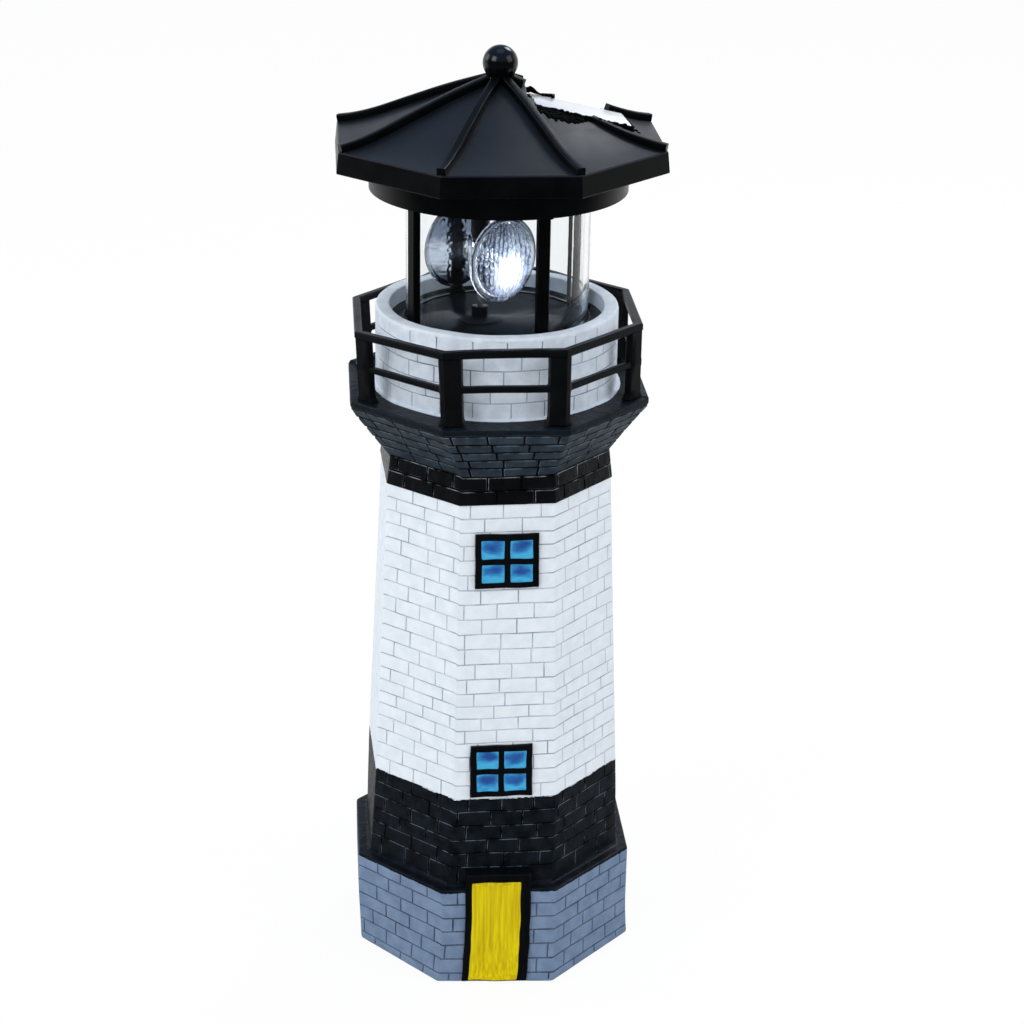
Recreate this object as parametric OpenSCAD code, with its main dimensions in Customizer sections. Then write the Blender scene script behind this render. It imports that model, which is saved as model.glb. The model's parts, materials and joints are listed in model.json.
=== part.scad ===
// Garden lighthouse ornament with a solar lantern.
// A hollow cast tower carries a gallery railing and a lift-out lantern,
// in which a geared motor turns a twin lens round a fixed lamp.
// Millimetres. +Z is up, the door faces -Y, the origin is the middle of the underside.

/* [Plinth and tower] */
// Corner radius of the octagonal plinth
plinth_r = 58.7; // [57:0.1:72]
// Height of the plinth
plinth_h = 40; // [30:1:60]
// Corner radius of the tower where it leaves the plinth
tower_foot_r = 53.7; // [50:0.1:55]
// Corner radius of the tower under the dark band
tower_top_r = 46.2; // [46:0.1:50]
// Height of the tapered tower
tower_h = 158; // [110:1:240]
// Wall of the hollow casting
cast_wall = 5; // [4:0.5:7]
// Thickness of the plate that closes the underside
base_plate_t = 3; // [2:0.5:5]

/* [Door and windows] */
// Width of the door with its frame
door_w = 25.5; // [18:0.5:30]
// Height of the door with its frame
door_h = 48; // [44:0.5:60]
// Width of a door or window frame member
frame_w = 2.4; // [1.5:0.1:4]
// How far frames stand proud of the wall
frame_proud = 1.2; // [0.8:0.1:2]
// Width of a window
window_w = 24; // [16:0.5:28]
// Height of a window
window_h = 21.5; // [16:0.5:28]
// Height of the lower window's middle
low_window_z = 89.2; // [75:0.1:110]
// Height of the upper window's middle
high_window_z = 175.6; // [130:0.1:180]

/* [Gallery] */
// Height of the dark band under the corbel
band_h = 11; // [6:0.5:20]
// Corner radius at the top of the dark band
band_top_r = 45.3; // [45:0.1:48]
// Height of the brick corbel that carries the deck
corbel_h = 23; // [16:0.5:30]
// Corner radius of the deck
deck_r = 60.5; // [60:0.1:66]
// Height of the deck's upright edge
deck_lip = 2.6; // [1.5:0.1:5]
// Corner radius of the railing, outside
rail_r = 56.9; // [56:0.1:59]
// Height of the railing above the deck
rail_top = 29; // [22:0.5:34]
// Height of the top rail's section
top_rail_h = 3; // [2:0.1:4]
// Depth of the top rail's section
top_rail_t = 3; // [2:0.1:4]
// Height of the middle rail above the deck
mid_rail_z = 12.7; // [8:0.1:18]
// Height of the middle rail's section
mid_rail_h = 2.5; // [1.5:0.1:4]
// Thickness of the railing posts and the middle rail
post_t = 2.4; // [1.5:0.1:3]
// Width of a railing post across its corner
post_w = 7.8; // [5:0.1:12]
// How far a railing post is moved along from its corner, towards the front or the back
post_shift = 1.5; // [0:0.1:2.5]

/* [Watch room] */
// Outside radius of the round watch-room wall
ring_r = 45.9; // [45:0.1:47.5]
// Inside radius of the watch-room wall, which the lantern tray fits
ring_bore_r = 40.5; // [39.5:0.1:41.5]
// Radius of the bore below the tray's ledge, which the drive cover fits
ring_throat_r = 36.2; // [35.5:0.1:36.6]
// Height of the watch-room wall above the deck
ring_h = 31; // [28:0.5:40]
// Bevel on the wall's top edge
ring_bevel = 2; // [1:0.1:3]
// Depth of the tray's surface below the wall's top
tray_drop = 6; // [4:0.5:9]
// Thickness of the deck slab under the wall
deck_t = 6; // [4:0.5:9]

/* [Lantern] */
// Thickness of the lantern tray
tray_t = 3; // [2.5:0.5:4]
// Height from the tray's surface to the underside of the drum
lantern_h = 50.5; // [48:0.5:61]
// Outside radius of the clear tube
tube_r = 34.4; // [33:0.1:34.6]
// Wall of the clear tube
tube_wall = 2; // [1.5:0.1:2.4]
// Depth of the grooves that hold the tube
tube_groove = 1.2; // [0.8:0.1:1.6]
// Width of a cage post, round the tube
cage_post_w = 4.4; // [3:0.1:5]
// Depth of a cage post, outwards
cage_post_t = 3; // [2:0.1:3.4]
// Radius of the drum under the roof
drum_r = 48.1; // [47:0.1:50]
// Height of the drum that shows below the eaves
drum_show = 11; // [8:0.5:14]
// Wall of the drum
drum_wall = 2; // [1.5:0.1:3]
// Floor of the drum
drum_floor = 2.6; // [2.2:0.1:3.5]

/* [Roof] */
// Corner radius of the eaves at their top edge
eave_r = 64; // [62:0.1:70]
// How far the fascia flares outwards at its foot
fascia_flare = 1; // [0:0.1:2]
// Height of the fascia
fascia_h = 8; // [6:0.5:12]
// Rise of the roof from the eaves to its top
roof_rise = 20.5; // [18:0.5:30]
// Thickness of the roof moulding
roof_t = 2; // [1.5:0.1:3]
// Width of a hip rib
rib_w = 3.2; // [2:0.1:4]
// Height of a hip rib above the roof
rib_h = 2.2; // [1.5:0.1:3]
// Radius of the finial's ball
ball_r = 6.5; // [5:0.1:8]
// Radius of the finial's neck
neck_r = 2.4; // [2:0.1:3]

/* [Solar panel] */
// Length of the panel, down the roof
panel_l = 36; // [28:0.5:38]
// Width of the panel
panel_w = 24; // [20:0.5:28]
// Thickness of the panel
panel_t = 2.2; // [1.5:0.1:3]
// Sideways place of the panel's middle
panel_side = -3.4; // [-4:0.1:4]
// Slope of the panel
panel_slope = 13; // [8:0.1:16]
// Distance from the axis to the panel's upper end
panel_start = 12; // [10:0.5:14]
// Depth of the panel's upper end below the roof's peak
panel_drop = 6.1; // [5.5:0.1:8.5]
// Width of the sealant bead round the panel
bead_w = 0.8; // [0.5:0.1:1.2]
// Depth of the sealant under the panel
bead_t = 1; // [0.6:0.1:2]
// How much wider the recess is behind the panel, where sealant fills it
bead_back = 4; // [1:0.5:5]

/* [Twin lens] */
// Sideways place of the lens axis
axis_x = -6.7; // [-8:0.1:-5]
// Front to back place of the lens axis
axis_y = -2; // [-4:0.1:0]
// Direction in which the first lens faces at rest, from +X
lens_angle = -52; // [-180:1:180]
// Height of the lens centre above the tray
lens_z = 26; // [24:0.5:28]
// Radius of a lens
lens_r = 16; // [12:0.1:17]
// Distance from the axis to the middle of a lens face
lens_reach = 14.4; // [12:0.1:16]
// Thickness of a lens at its rim
lens_rim = 0.9; // [0.6:0.1:1.4]
// How far a lens face bulges
lens_dome = 1.2; // [0.6:0.1:2]
// Wall of a reflector cup
cup_wall = 1.2; // [0.8:0.1:1.6]
// Outside radius of the sleeve between the cups
sleeve_r = 4.6; // [4.4:0.1:5.5]
// Radius of the lens spindle
spindle_r = 1; // [0.8:0.1:1.3]

/* [Drive] */
// Size of the gear teeth: pitch diameter over the number of teeth
gear_module = 0.6; // [0.5:0.05:0.64]
// Teeth of each large wheel
wheel_teeth = 36; // [30:1:36]
// Teeth of each pinion
pinion_teeth = 12; // [12:1:14]
// Face width of a gear
gear_w = 2; // [1.5:0.1:2.2]
// Direction from the lens axis to the idler
idler_angle = 30; // [20:1:40]
// Direction from the idler to the motor
motor_angle = -60; // [-70:1:-50]
// Radius of the motor can
motor_r = 7.5; // [6:0.1:8]
// Height of the motor can
motor_h = 10.8; // [8:0.1:10.8]
// Height of the drive cover under the tray
cover_h = 22; // [22:0.5:26]
// Wall of the drive cover
cover_wall = 1.6; // [1.2:0.1:2.2]
// Radius of the gear plate
gear_plate_r = 26; // [25.5:0.1:27]
// Thickness of the gear plate
gear_plate_t = 2; // [1.5:0.1:2.2]

/* [Electrics] */
// Diameter of the rechargeable cell
cell_d = 10.5; // [8:0.1:11]
// Length of the rechargeable cell
cell_l = 44.5; // [35:0.1:46]
// Length of the circuit board
board_l = 28; // [24:0.5:28]
// Width of the circuit board
board_w = 24; // [20:0.5:26]
// Travel of the slide switch
switch_travel = 3; // [2:0.1:4]

/* [Fits] */
// Clearance between parts that are dropped in or glued
slip = 0.2; // [0.1:0.05:0.25]
// Clearance round a turning shaft
running = 0.05; // [0.02:0.01:0.1]
// Clearance round a screw, a pressed pin or a pressed gear
press = 0.03; // [0.01:0.01:0.05]

/* [Hidden] */
$fn = 64;
half_turn = 22.5;               // turns an octagon so that its sides face the axes
lap = 1;                        // overshoot of a cut

// Heights, stacked from the ground
z_tower = plinth_h;
z_band = z_tower + tower_h;
z_corbel = z_band + band_h;
z_deck = z_corbel + corbel_h;
z_ring = z_deck + ring_h;
z_tray = z_ring - tray_drop;
z_bay = z_tray - tray_t;        // top of the drive bay, under the tray
z_cover = z_bay - cover_h;
z_drum = z_tray + lantern_h;
z_floor = z_drum + drum_floor;  // inside the drum
z_eave = z_drum + drum_show + fascia_h;
z_peak = z_eave + roof_rise;
z_lens = z_tray + lens_z;

// Octagon walls: the same wall measured along a corner radius
function at_corner(t) = t / cos(half_turn);
function to_flat(r) = r * cos(half_turn);
function turned(a, r) = [r * cos(a), r * sin(a)];
cavity_plinth_r = plinth_r - at_corner(cast_wall + 1);
cavity_foot_r = tower_foot_r - at_corner(cast_wall);
cavity_top_r = tower_top_r - at_corner(cast_wall);
cavity_band_r = band_top_r - at_corner(cast_wall);
rebate_r = cavity_plinth_r + 2.2;
tower_tilt = atan(to_flat(tower_foot_r - tower_top_r) / tower_h);
function tower_r_at(z) = tower_foot_r + (tower_top_r - tower_foot_r) * (z - z_tower) / tower_h;
door_offset = -0.4;             // the door and windows sit a little off the middle
window_offset = 1;
pane_depth = 0.9;

// Railing
post_h = rail_top - top_rail_h;

// Lantern
tray_r = ring_bore_r - slip;
cover_r = ring_throat_r - 2.5 * slip;
cage_r = tube_r + 0.5;          // inner face of a cage post
cage_angles = [-67.5, 22.5, 112.5, 202.5];
lens_xy = [axis_x, axis_y];
boss_r = 3;
boss_h = 5;
boss_flange_r = 8.5;
boss_flange_h = 0.8;
drum_top = z_eave - 2.5;
drum_in_r = drum_r - drum_wall;
roof_boss_r = 3.5;
roof_boss_at = drum_in_r - roof_boss_r - 0.6;
roof_boss_angles = [45, 135, 225, 315];
screw_r = 1;
screw_head_r = 2;
screw_head_h = 1.3;

// Roof outline from the eaves to the top: share of the run, share of the rise
roof_curve = [[1, 0], [0.906, 0.055], [0.78, 0.17], [0.56, 0.44], [0.31, 0.745], [0.065, 1]];
roof_line = [for (p = roof_curve) [eave_r * p[0], z_eave + roof_rise * p[1]]];
bead_fill = 7;                  // depth of the sealant under the panel's lower end
fascia_foot = [eave_r + fascia_flare, z_eave - fascia_h];

// Train: one idler between the motor and the lens
wheel_pitch_r = gear_module * wheel_teeth / 2;
pinion_pitch_r = gear_module * pinion_teeth / 2;
centre_distance = wheel_pitch_r + pinion_pitch_r;
addendum = 0.9;                 // tooth above and below the pitch circle, in modules
dedendum = 1.2;
hub_gap = 0.06;                 // from the output gear's hub to the idler's wheel
hub_r = centre_distance - wheel_pitch_r - addendum * gear_module - hub_gap;
idler_xy = lens_xy + turned(idler_angle, centre_distance);
motor_xy = idler_xy + turned(motor_angle, centre_distance);
pressure_angle = 25;
backlash = 0.1;
z_output = z_bay - 1.4 - gear_w;
z_idler = z_output - 1 - gear_w;
z_plate = z_idler - 0.8;        // upper face of the gear plate
z_motor = z_plate - gear_plate_t;
plate_pillar_angles = [100, 200, 290];
plate_pillar_at = 23.3;
plate_pillar_r = 2.4;
cover_pillar_angles = [60, 180, 300];
cover_pillar_at = 30.3;
cover_pillar_r = 3;
motor_shaft_r = 0.75;
motor_screw_at = 5.4;
motor_screw_r = 0.8;

// Lens rotor
cup_neck_r = 3.4;
neck_wall = 0.8;                // wall of a cup where it meets the sleeve
cup_start = sleeve_r - 0.4;
cup_end = lens_reach - lens_rim - lens_dome;
sleeve_bore_r = sleeve_r - 1.3;
sleeve_foot = 9;                // below the lens centre
sleeve_top = 5;                 // above the lens centre
yoke_foot = 14.8;
led_r = 2.5;
led_flange_r = 2.9;
stem_r = 3.55;
stem_tip_r = 2.45;
stem_tip = 3.5;                 // above the lens centre
stem_taper = 4;
stem_bore_r = 1.5;
stem_flange_r = 6;
stem_flange_t = 1.5;

// Electrics in the drum
cell_xy = [-27, 0];
cell_z = z_floor + cell_d / 2 + 0.3;
contact_t = 0.8;
cradle_t = 1.6;
board_xy = [16, 6];
board_t = 1.6;
board_lift = 3;
z_board = z_floor + board_lift;
switch_xy = [0, -41];
switch_l = 9;
switch_w = 4;
switch_h = 3.6;
knob_l = 2;
knob_w = 1.6;
knob_proud = 1.3;
knob_depth = 1.4;               // of the slot in the switch's body
lead_r = 0.45;
thin_lead_r = 0.3;
panel_lead_xy = board_xy + [4, -4];
panel_lead_gap = 4;             // between the two leads from the panel
chip_size = [5, 4, 1.5];
chip_at = [-9, -2];             // places on the board are from its middle
plug_size = [6, 2.4, 2];
plug_at = [-9, -9];
capacitor_size = [2.5, 5];      // radius and height
capacitor_at = [-8, 7];
coil_size = [3, 4];
coil_at = [1, 7];
motor_lead_xy = [[29.2, 11.2], [28.6, 12.8]];
motor_lead_z = z_motor - 4;

// ---- shared shapes ----

// An octagonal prism with sides that face the axes
module octagon(r, h) {
    rotate([0, 0, half_turn]) cylinder(r = r, h = h, $fn = 8);
}

// An octagonal solid whose corner radius follows an outline of [radius, height]
module octagon_turn(outline) {
    rotate([0, 0, half_turn]) rotate_extrude($fn = 8) polygon(outline);
}

// An octagonal band of a given depth
module octagon_band(r, depth, h) {
    difference() {
        octagon(r, h);
        translate([0, 0, -lap]) octagon(r - at_corner(depth), h + 2 * lap);
    }
}

// A round wall between two radii
module tube(outer, inner, h) {
    difference() {
        cylinder(r = outer, h = h);
        translate([0, 0, -lap]) cylinder(r = inner, h = h + 2 * lap);
    }
}

// A copy at each angle, moved out by a radius and turned to face outwards
module around(angles, radius) {
    for (a = angles) rotate([0, 0, a]) translate([radius, 0, 0]) children();
}

// A pan-head screw that points up, with the underside of its head at z = 0
module screw(length, r = screw_r, head_r = screw_head_r, head_h = screw_head_h) {
    union() {
        cylinder(r = r, h = length);
        translate([0, 0, -head_h]) cylinder(r = head_r, h = head_h);
    }
}

// A round wire through points that each differ along one axis, with a ball at each bend
module wire(points, r) {
    last = len(points) - 1;
    for (i = [1:last]) let (d = points[i] - points[i - 1]) {
        turn = d[0] != 0 ? [0, 90, 0] : d[1] != 0 ? [-90, 0, 0] : [0, 0, 0];
        start = (d[0] + d[1] + d[2]) < 0 ? points[i] : points[i - 1];
        translate(start) rotate(turn) cylinder(r = r, h = norm(d), $fn = 24);
    }
    if (last > 1) for (i = [1:last - 1]) translate(points[i]) sphere(r = 1.5 * r, $fn = 24);
}

// Involute spur gear with a tooth on +X and a round bore
function involute(base_r, t) = base_r * [cos(t) + t * PI / 180 * sin(t), sin(t) - t * PI / 180 * cos(t)];
function spin(p, a) = [p[0] * cos(a) - p[1] * sin(a), p[0] * sin(a) + p[1] * cos(a)];
module gear(teeth, width, bore_r) {
    pitch_r = gear_module * teeth / 2;
    base_r = pitch_r * cos(pressure_angle);
    tip_r = pitch_r + addendum * gear_module;
    root_r = pitch_r - dedendum * gear_module;
    start_r = max(base_r, root_r);
    // roll angle of the involute at the start of the flank and at the tip
    roll_0 = acos(base_r / start_r) == 0 ? 0 : tan(acos(base_r / start_r)) * 180 / PI;
    roll_1 = tan(acos(base_r / tip_r)) * 180 / PI;
    half_tooth = (PI * gear_module / 4 - backlash / 2) / pitch_r * 180 / PI;
    flank_at_pitch = tan(pressure_angle) * 180 / PI - pressure_angle;
    steps = 4;
    right = [for (i = [0:steps])
        spin(involute(base_r, roll_0 + (roll_1 - roll_0) * i / steps), -half_tooth - flank_at_pitch)];
    root = root_r * right[0] / norm(right[0]);
    tooth = concat([root], right, [for (i = [0:steps]) [right[steps - i][0], -right[steps - i][1]]],
                   [[root[0], -root[1]]]);
    outline = [for (k = [0:teeth - 1]) for (p = tooth) spin(p, k * 360 / teeth)];
    difference() {
        linear_extrude(width) polygon(outline);
        translate([0, 0, -lap]) cylinder(r = bore_r, h = width + 2 * lap, $fn = 32);
    }
}

// ---- tower ----

// Frame and panes of a window, standing out of the tapered front face
module window(z) {
    face_y = -to_flat(tower_r_at(z));
    pane_w = (window_w - 3 * frame_w) / 2;
    pane_h = (window_h - 3 * frame_w) / 2;
    translate([window_offset, face_y, z]) rotate([-tower_tilt, 0, 0]) difference() {
        translate([-window_w / 2, -frame_proud, -window_h / 2])
            cube([window_w, frame_proud + 2, window_h]);
        for (sx = [-1, 1], sz = [-1, 1])
            translate([sx * (pane_w + frame_w) / 2 - pane_w / 2, -frame_proud - lap,
                       sz * (pane_h + frame_w) / 2 - pane_h / 2])
                cube([pane_w, pane_depth + lap, pane_h]);
    }
}

// Door with its frame, which stands a little higher than the plinth
module door() {
    front_y = -to_flat(plinth_r) - frame_proud;
    depth = to_flat(plinth_r - tower_r_at(door_h)) + frame_proud + 2;
    translate([door_offset - door_w / 2, front_y, 0]) difference() {
        cube([door_w, depth, door_h]);
        translate([frame_w, -lap, 0.8])
            cube([door_w - 2 * frame_w, pane_depth + lap, door_h - frame_w - 1.2]);
    }
}

module tower_casting() {
    outer = [[0, 0], [plinth_r, 0], [plinth_r, z_tower], [tower_foot_r, z_tower],
             [tower_top_r, z_band], [band_top_r, z_corbel], [deck_r, z_deck - deck_lip],
             [deck_r, z_deck], [0, z_deck]];
    cavity = [[0, -lap], [cavity_plinth_r, -lap], [cavity_plinth_r, z_tower - cast_wall],
              [cavity_foot_r, z_tower - cast_wall + 2], [cavity_top_r, z_band],
              [cavity_band_r, z_corbel], [cavity_band_r, z_deck - deck_t],
              [0, z_deck - deck_t]];
    wall = [[0, z_deck - lap], [ring_r, z_deck - lap], [ring_r, z_ring - ring_bevel],
            [ring_r - ring_bevel, z_ring], [0, z_ring]];
    color("gainsboro") difference() {
        union() {
            octagon_turn(outer);
            rotate_extrude() polygon(wall);
            door();
            window(low_window_z);
            window(high_window_z);
        }
        octagon_turn(cavity);
        translate([0, 0, -lap]) octagon(rebate_r, base_plate_t + lap);
        translate([0, 0, z_deck - deck_t - lap])
            cylinder(r = ring_throat_r, h = ring_h + deck_t + 2 * lap);
        translate([0, 0, z_bay]) cylinder(r = ring_bore_r, h = tray_t + tray_drop + lap);
    }
}

module base_plate() {
    color("dimgray") octagon(rebate_r - slip, base_plate_t);
}

// ---- gallery railing ----

// Boxes that mark out the eight railing posts at the corners, each more on one side of its corner
module post_boxes(h) {
    for (k = [0:7]) let (a = half_turn + 45 * k, side = sin(a) * cos(a) > 0 ? 1 : -1)
        rotate([0, 0, a]) translate([rail_r - 8, side * post_shift - post_w / 2, 0])
            cube([12, post_w, h]);
}

module railing_posts() {
    color("black") translate([0, 0, z_deck]) intersection() {
        octagon_band(rail_r, post_t, post_h);
        post_boxes(post_h);
    }
}

module top_rail() {
    color("black") translate([0, 0, z_deck + post_h])
        octagon_band(rail_r + 0.3, top_rail_t, top_rail_h);
}

module mid_rail() {
    color("black") translate([0, 0, z_deck + mid_rail_z]) difference() {
        octagon_band(rail_r, post_t, mid_rail_h);
        translate([0, 0, -lap]) post_boxes(mid_rail_h + 2 * lap);
    }
}

// ---- lantern cage ----

// The four cage posts, or with a clearance the sockets that hold them
module cage_boxes(h, gap = 0) {
    around(cage_angles, cage_r) translate([-gap, -cage_post_w / 2 - gap, 0])
        cube([cage_post_t + 2 * gap, cage_post_w + 2 * gap, h]);
}

module lantern_tray() {
    pillar_drop = cover_h - cover_wall;
    color("dimgray") difference() {
        union() {
            translate([0, 0, z_bay]) cylinder(r = tray_r, h = tray_t);
            translate([axis_x, axis_y, z_tray]) cylinder(r = boss_flange_r, h = boss_flange_h);
            translate([axis_x, axis_y, z_tray]) cylinder(r = boss_r, h = boss_h);
            translate([0, 0, z_bay - pillar_drop])
                around(cover_pillar_angles, cover_pillar_at)
                    cylinder(r = cover_pillar_r, h = pillar_drop + lap);
            translate([0, 0, z_plate]) around(plate_pillar_angles, plate_pillar_at)
                cylinder(r = plate_pillar_r, h = z_bay - z_plate + lap);
        }
        translate([0, 0, z_tray - tube_groove])
            tube(tube_r + slip, tube_r - tube_wall - slip, tube_groove + lap);
        translate([0, 0, z_tray - tube_groove]) cage_boxes(tube_groove + lap, press);
        translate([axis_x, axis_y, z_bay - lap])
            cylinder(r = spindle_r + running, h = tray_t + boss_h + 2 * lap);
        translate([idler_xy[0], idler_xy[1], z_bay - lap])
            cylinder(r = spindle_r + press, h = lap + 1.8);
        translate([0, 0, z_bay - pillar_drop - lap])
            around(cover_pillar_angles, cover_pillar_at) cylinder(r = screw_r + press, h = 9);
        translate([0, 0, z_plate - lap]) around(plate_pillar_angles, plate_pillar_at)
            cylinder(r = screw_r + press, h = 6);
        for (p = motor_lead_xy) translate([p[0], p[1], z_bay - lap])
            cylinder(r = lead_r + press, h = tray_t + 2 * lap);
    }
}

module clear_tube() {
    color("lightcyan", 0.35) translate([0, 0, z_tray - tube_groove])
        tube(tube_r, tube_r - tube_wall, lantern_h + 2 * tube_groove);
}

module cage_posts() {
    color("black") translate([0, 0, z_tray - tube_groove])
        cage_boxes(lantern_h + 2 * tube_groove);
}

module drum_housing() {
    cradle_h = cell_z - z_floor + 2;
    cradle_y = cell_l / 2 + contact_t + 0.4;
    color("black") difference() {
        union() {
            translate([0, 0, z_drum]) difference() {
                cylinder(r = drum_r, h = drum_top - z_drum);
                translate([0, 0, drum_floor]) cylinder(r = drum_in_r, h = drum_top);
            }
            // end walls of the battery cradle
            for (s = [-1, 1]) translate([cell_xy[0] - cell_d / 2,
                                         s * (cradle_y + cradle_t / 2) - cradle_t / 2, z_floor - lap])
                cube([cell_d, cradle_t, cradle_h + lap]);
            // pegs under the circuit board
            for (sx = [-1, 1], sy = [-1, 1])
                translate([board_xy[0] + sx * (board_l / 2 - 3),
                           board_xy[1] + sy * (board_w / 2 - 3), z_floor - lap])
                    cylinder(r = 1.5, h = board_lift + lap);
        }
        translate([0, 0, z_drum - lap])
            tube(tube_r + slip, tube_r - tube_wall - slip, tube_groove + lap);
        translate([0, 0, z_drum - lap]) cage_boxes(tube_groove + lap, press);
        translate([axis_x, axis_y, z_drum - lap])
            cylinder(r = stem_r + press, h = drum_floor + 2 * lap);
        translate([0, 0, z_drum - lap]) around(roof_boss_angles, roof_boss_at)
            cylinder(r = screw_r + press, h = drum_floor + 2 * lap);
        translate([switch_xy[0] - (knob_l + switch_travel) / 2 - slip,
                   switch_xy[1] - knob_w / 2 - slip, z_drum - lap])
            cube([knob_l + switch_travel + 2 * slip, knob_w + 2 * slip, drum_floor + 2 * lap]);
        for (p = motor_lead_xy) translate([p[0], p[1], z_drum - lap])
            cylinder(r = lead_r + press, h = drum_floor + 2 * lap);
    }
}

// ---- roof ----

// The panel's own plane: its upper end's middle is the origin and X runs down the roof
module on_panel() {
    translate([panel_start, 0, z_peak - panel_drop]) rotate([0, panel_slope, 0]) children();
}

// A block on the panel's plane, wider than the panel by a margin and by more behind it
module panel_block(margin, low, high, back = 0) {
    on_panel() translate([-margin, panel_side - panel_w / 2 - margin, low])
        cube([panel_l + 2 * margin, panel_w + 2 * margin + back, high - low]);
}

// The roof as a solid block, down to its eaves
module roof_solid() {
    octagon_turn(concat([[0, fascia_foot[1]], fascia_foot], roof_line, [[0, z_peak]]));
}

// The space under the roof moulding
module roof_hollow() {
    inner = [for (p = roof_line) [max(p[0] - at_corner(roof_t) * 0.6, 0), p[1] - roof_t]];
    wall = at_corner(roof_t);
    octagon_turn(concat([[0, fascia_foot[1] - lap], [fascia_foot[0] - wall, fascia_foot[1] - lap],
                         [eave_r - wall, z_eave - roof_t]],
                        [for (i = [1:len(inner) - 1]) inner[i]], [[0, z_peak - roof_t]]));
}

// Upright side view of a hip rib, swept through its width
module rib() {
    top = [for (p = roof_line) [p[0], p[1] + rib_h]];
    low = [for (i = [len(roof_line) - 1:-1:0]) [roof_line[i][0], roof_line[i][1] - 0.6]];
    rotate([90, 0, 0]) translate([0, 0, -rib_w / 2]) linear_extrude(rib_w)
        polygon(concat(top, low));
}

module ribs() {
    for (k = [0:7]) rotate([0, 0, half_turn + 45 * k]) rib();
}

module roof_cap() {
    screw_hole = 8;
    color("dimgray") difference() {
        union() {
            difference() {
                roof_solid();
                difference() {
                    roof_hollow();
                    panel_block(2 * bead_w, -panel_t - bead_t - roof_t, 0, bead_back);
                    translate([0, 0, z_floor]) around(roof_boss_angles, roof_boss_at)
                        cylinder(r = roof_boss_r, h = z_peak - z_floor);
                }
            }
            translate([0, 0, z_floor]) around(roof_boss_angles, roof_boss_at)
                cylinder(r = roof_boss_r, h = z_eave - z_floor - fascia_h / 2);
            ribs();
        }
        cylinder(r = neck_r + press, h = z_peak + rib_h + lap);
        translate([0, 0, z_peak]) cylinder(r = ball_r, h = rib_h + lap);
        panel_block(bead_w, -panel_t - bead_t, rib_h + 6, bead_back);
        translate([0, 0, z_floor - lap]) around(roof_boss_angles, roof_boss_at)
            cylinder(r = screw_r + press, h = screw_hole + lap);
        for (s = [-1, 1])
            translate([panel_lead_xy[0], panel_lead_xy[1] + s * panel_lead_gap / 2, z_board])
                cylinder(r = thin_lead_r + press, h = z_peak - z_board);
    }
}

module roof_screws() {
    color("silver") translate([0, 0, z_drum]) around(roof_boss_angles, roof_boss_at)
        screw(drum_floor + 6);
}

module finial() {
    color("black") translate([0, 0, z_peak]) union() {
        translate([0, 0, ball_r]) sphere(r = ball_r);
        translate([0, 0, -roof_t - 1]) cylinder(r = neck_r, h = roof_t + 2.5);
    }
}

module solar_panel() {
    color("midnightblue") panel_block(0, -panel_t, 0);
}

module panel_sealant() {
    color("black") difference() {
        union() {
            panel_block(bead_w, -panel_t - bead_fill, -panel_t, bead_back);
            on_panel() translate([0, panel_side + panel_w / 2, -panel_t - lap])
                cube([panel_l, bead_back + bead_w, panel_t + lap]);
        }
        difference() {
            union() {
                roof_solid();
                ribs();
            }
            panel_block(bead_w, -panel_t - bead_t, rib_h + 6, bead_back);
        }
        for (s = [-1, 1])
            translate([panel_lead_xy[0], panel_lead_xy[1] + s * panel_lead_gap / 2, z_board])
                cylinder(r = thin_lead_r + press, h = z_peak - z_board);
    }
}

module panel_leads() {
    x = panel_lead_xy[0];
    top = z_peak - panel_drop - panel_t - (x - panel_start) * tan(panel_slope) - 0.35;
    color("red") for (s = [-1, 1]) let (y = panel_lead_xy[1] + s * panel_lead_gap / 2)
        wire([[x, y, z_board + board_t], [x, y, top]], thin_lead_r);
}

// ---- electrics in the drum ----

module battery_cell() {
    color("seagreen") translate([cell_xy[0], 0, cell_z]) rotate([90, 0, 0]) union() {
        translate([0, 0, -cell_l / 2]) cylinder(r = cell_d / 2, h = cell_l - 1);
        translate([0, 0, -cell_l / 2]) cylinder(r = 1.9, h = cell_l);
    }
}

module battery_contacts() {
    contact_h = cell_z - z_floor + 2;
    color("silver") for (s = [-1, 1])
        translate([cell_xy[0] - 4, s * (cell_l / 2 + 0.2 + contact_t / 2) - contact_t / 2, z_floor])
            cube([8, contact_t, contact_h]);
}

module power_leads() {
    y = cell_l / 2 + 0.2 + contact_t / 2;
    z = z_board + board_t / 2;
    color("red") for (s = [-1, 1])
        wire([[cell_xy[0] + 4, s * y, z], [board_xy[0], s * y, z],
              [board_xy[0], board_xy[1] + s * board_w / 2, z]], lead_r);
}

module circuit_board() {
    color("darkgreen") translate([board_xy[0] - board_l / 2, board_xy[1] - board_w / 2, z_board])
        cube([board_l, board_w, board_t]);
}

module board_parts() {
    color("darkslategray") translate([board_xy[0], board_xy[1], z_board + board_t]) union() {
        translate(chip_at) cube(chip_size);
        translate(plug_at) cube(plug_size);
        translate(capacitor_at) cylinder(r = capacitor_size[0], h = capacitor_size[1]);
        translate(coil_at) cylinder(r = coil_size[0], h = coil_size[1]);
    }
}

module switch_body() {
    slot = [knob_l + switch_travel + 2 * slip, knob_w + 2 * slip, knob_depth + lap];
    color("silver") translate([switch_xy[0] - switch_l / 2, switch_xy[1] - switch_w / 2, z_floor])
        difference() {
            cube([switch_l, switch_w, switch_h]);
            translate([(switch_l - slot[0]) / 2, (switch_w - slot[1]) / 2, -lap]) cube(slot);
        }
}

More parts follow.
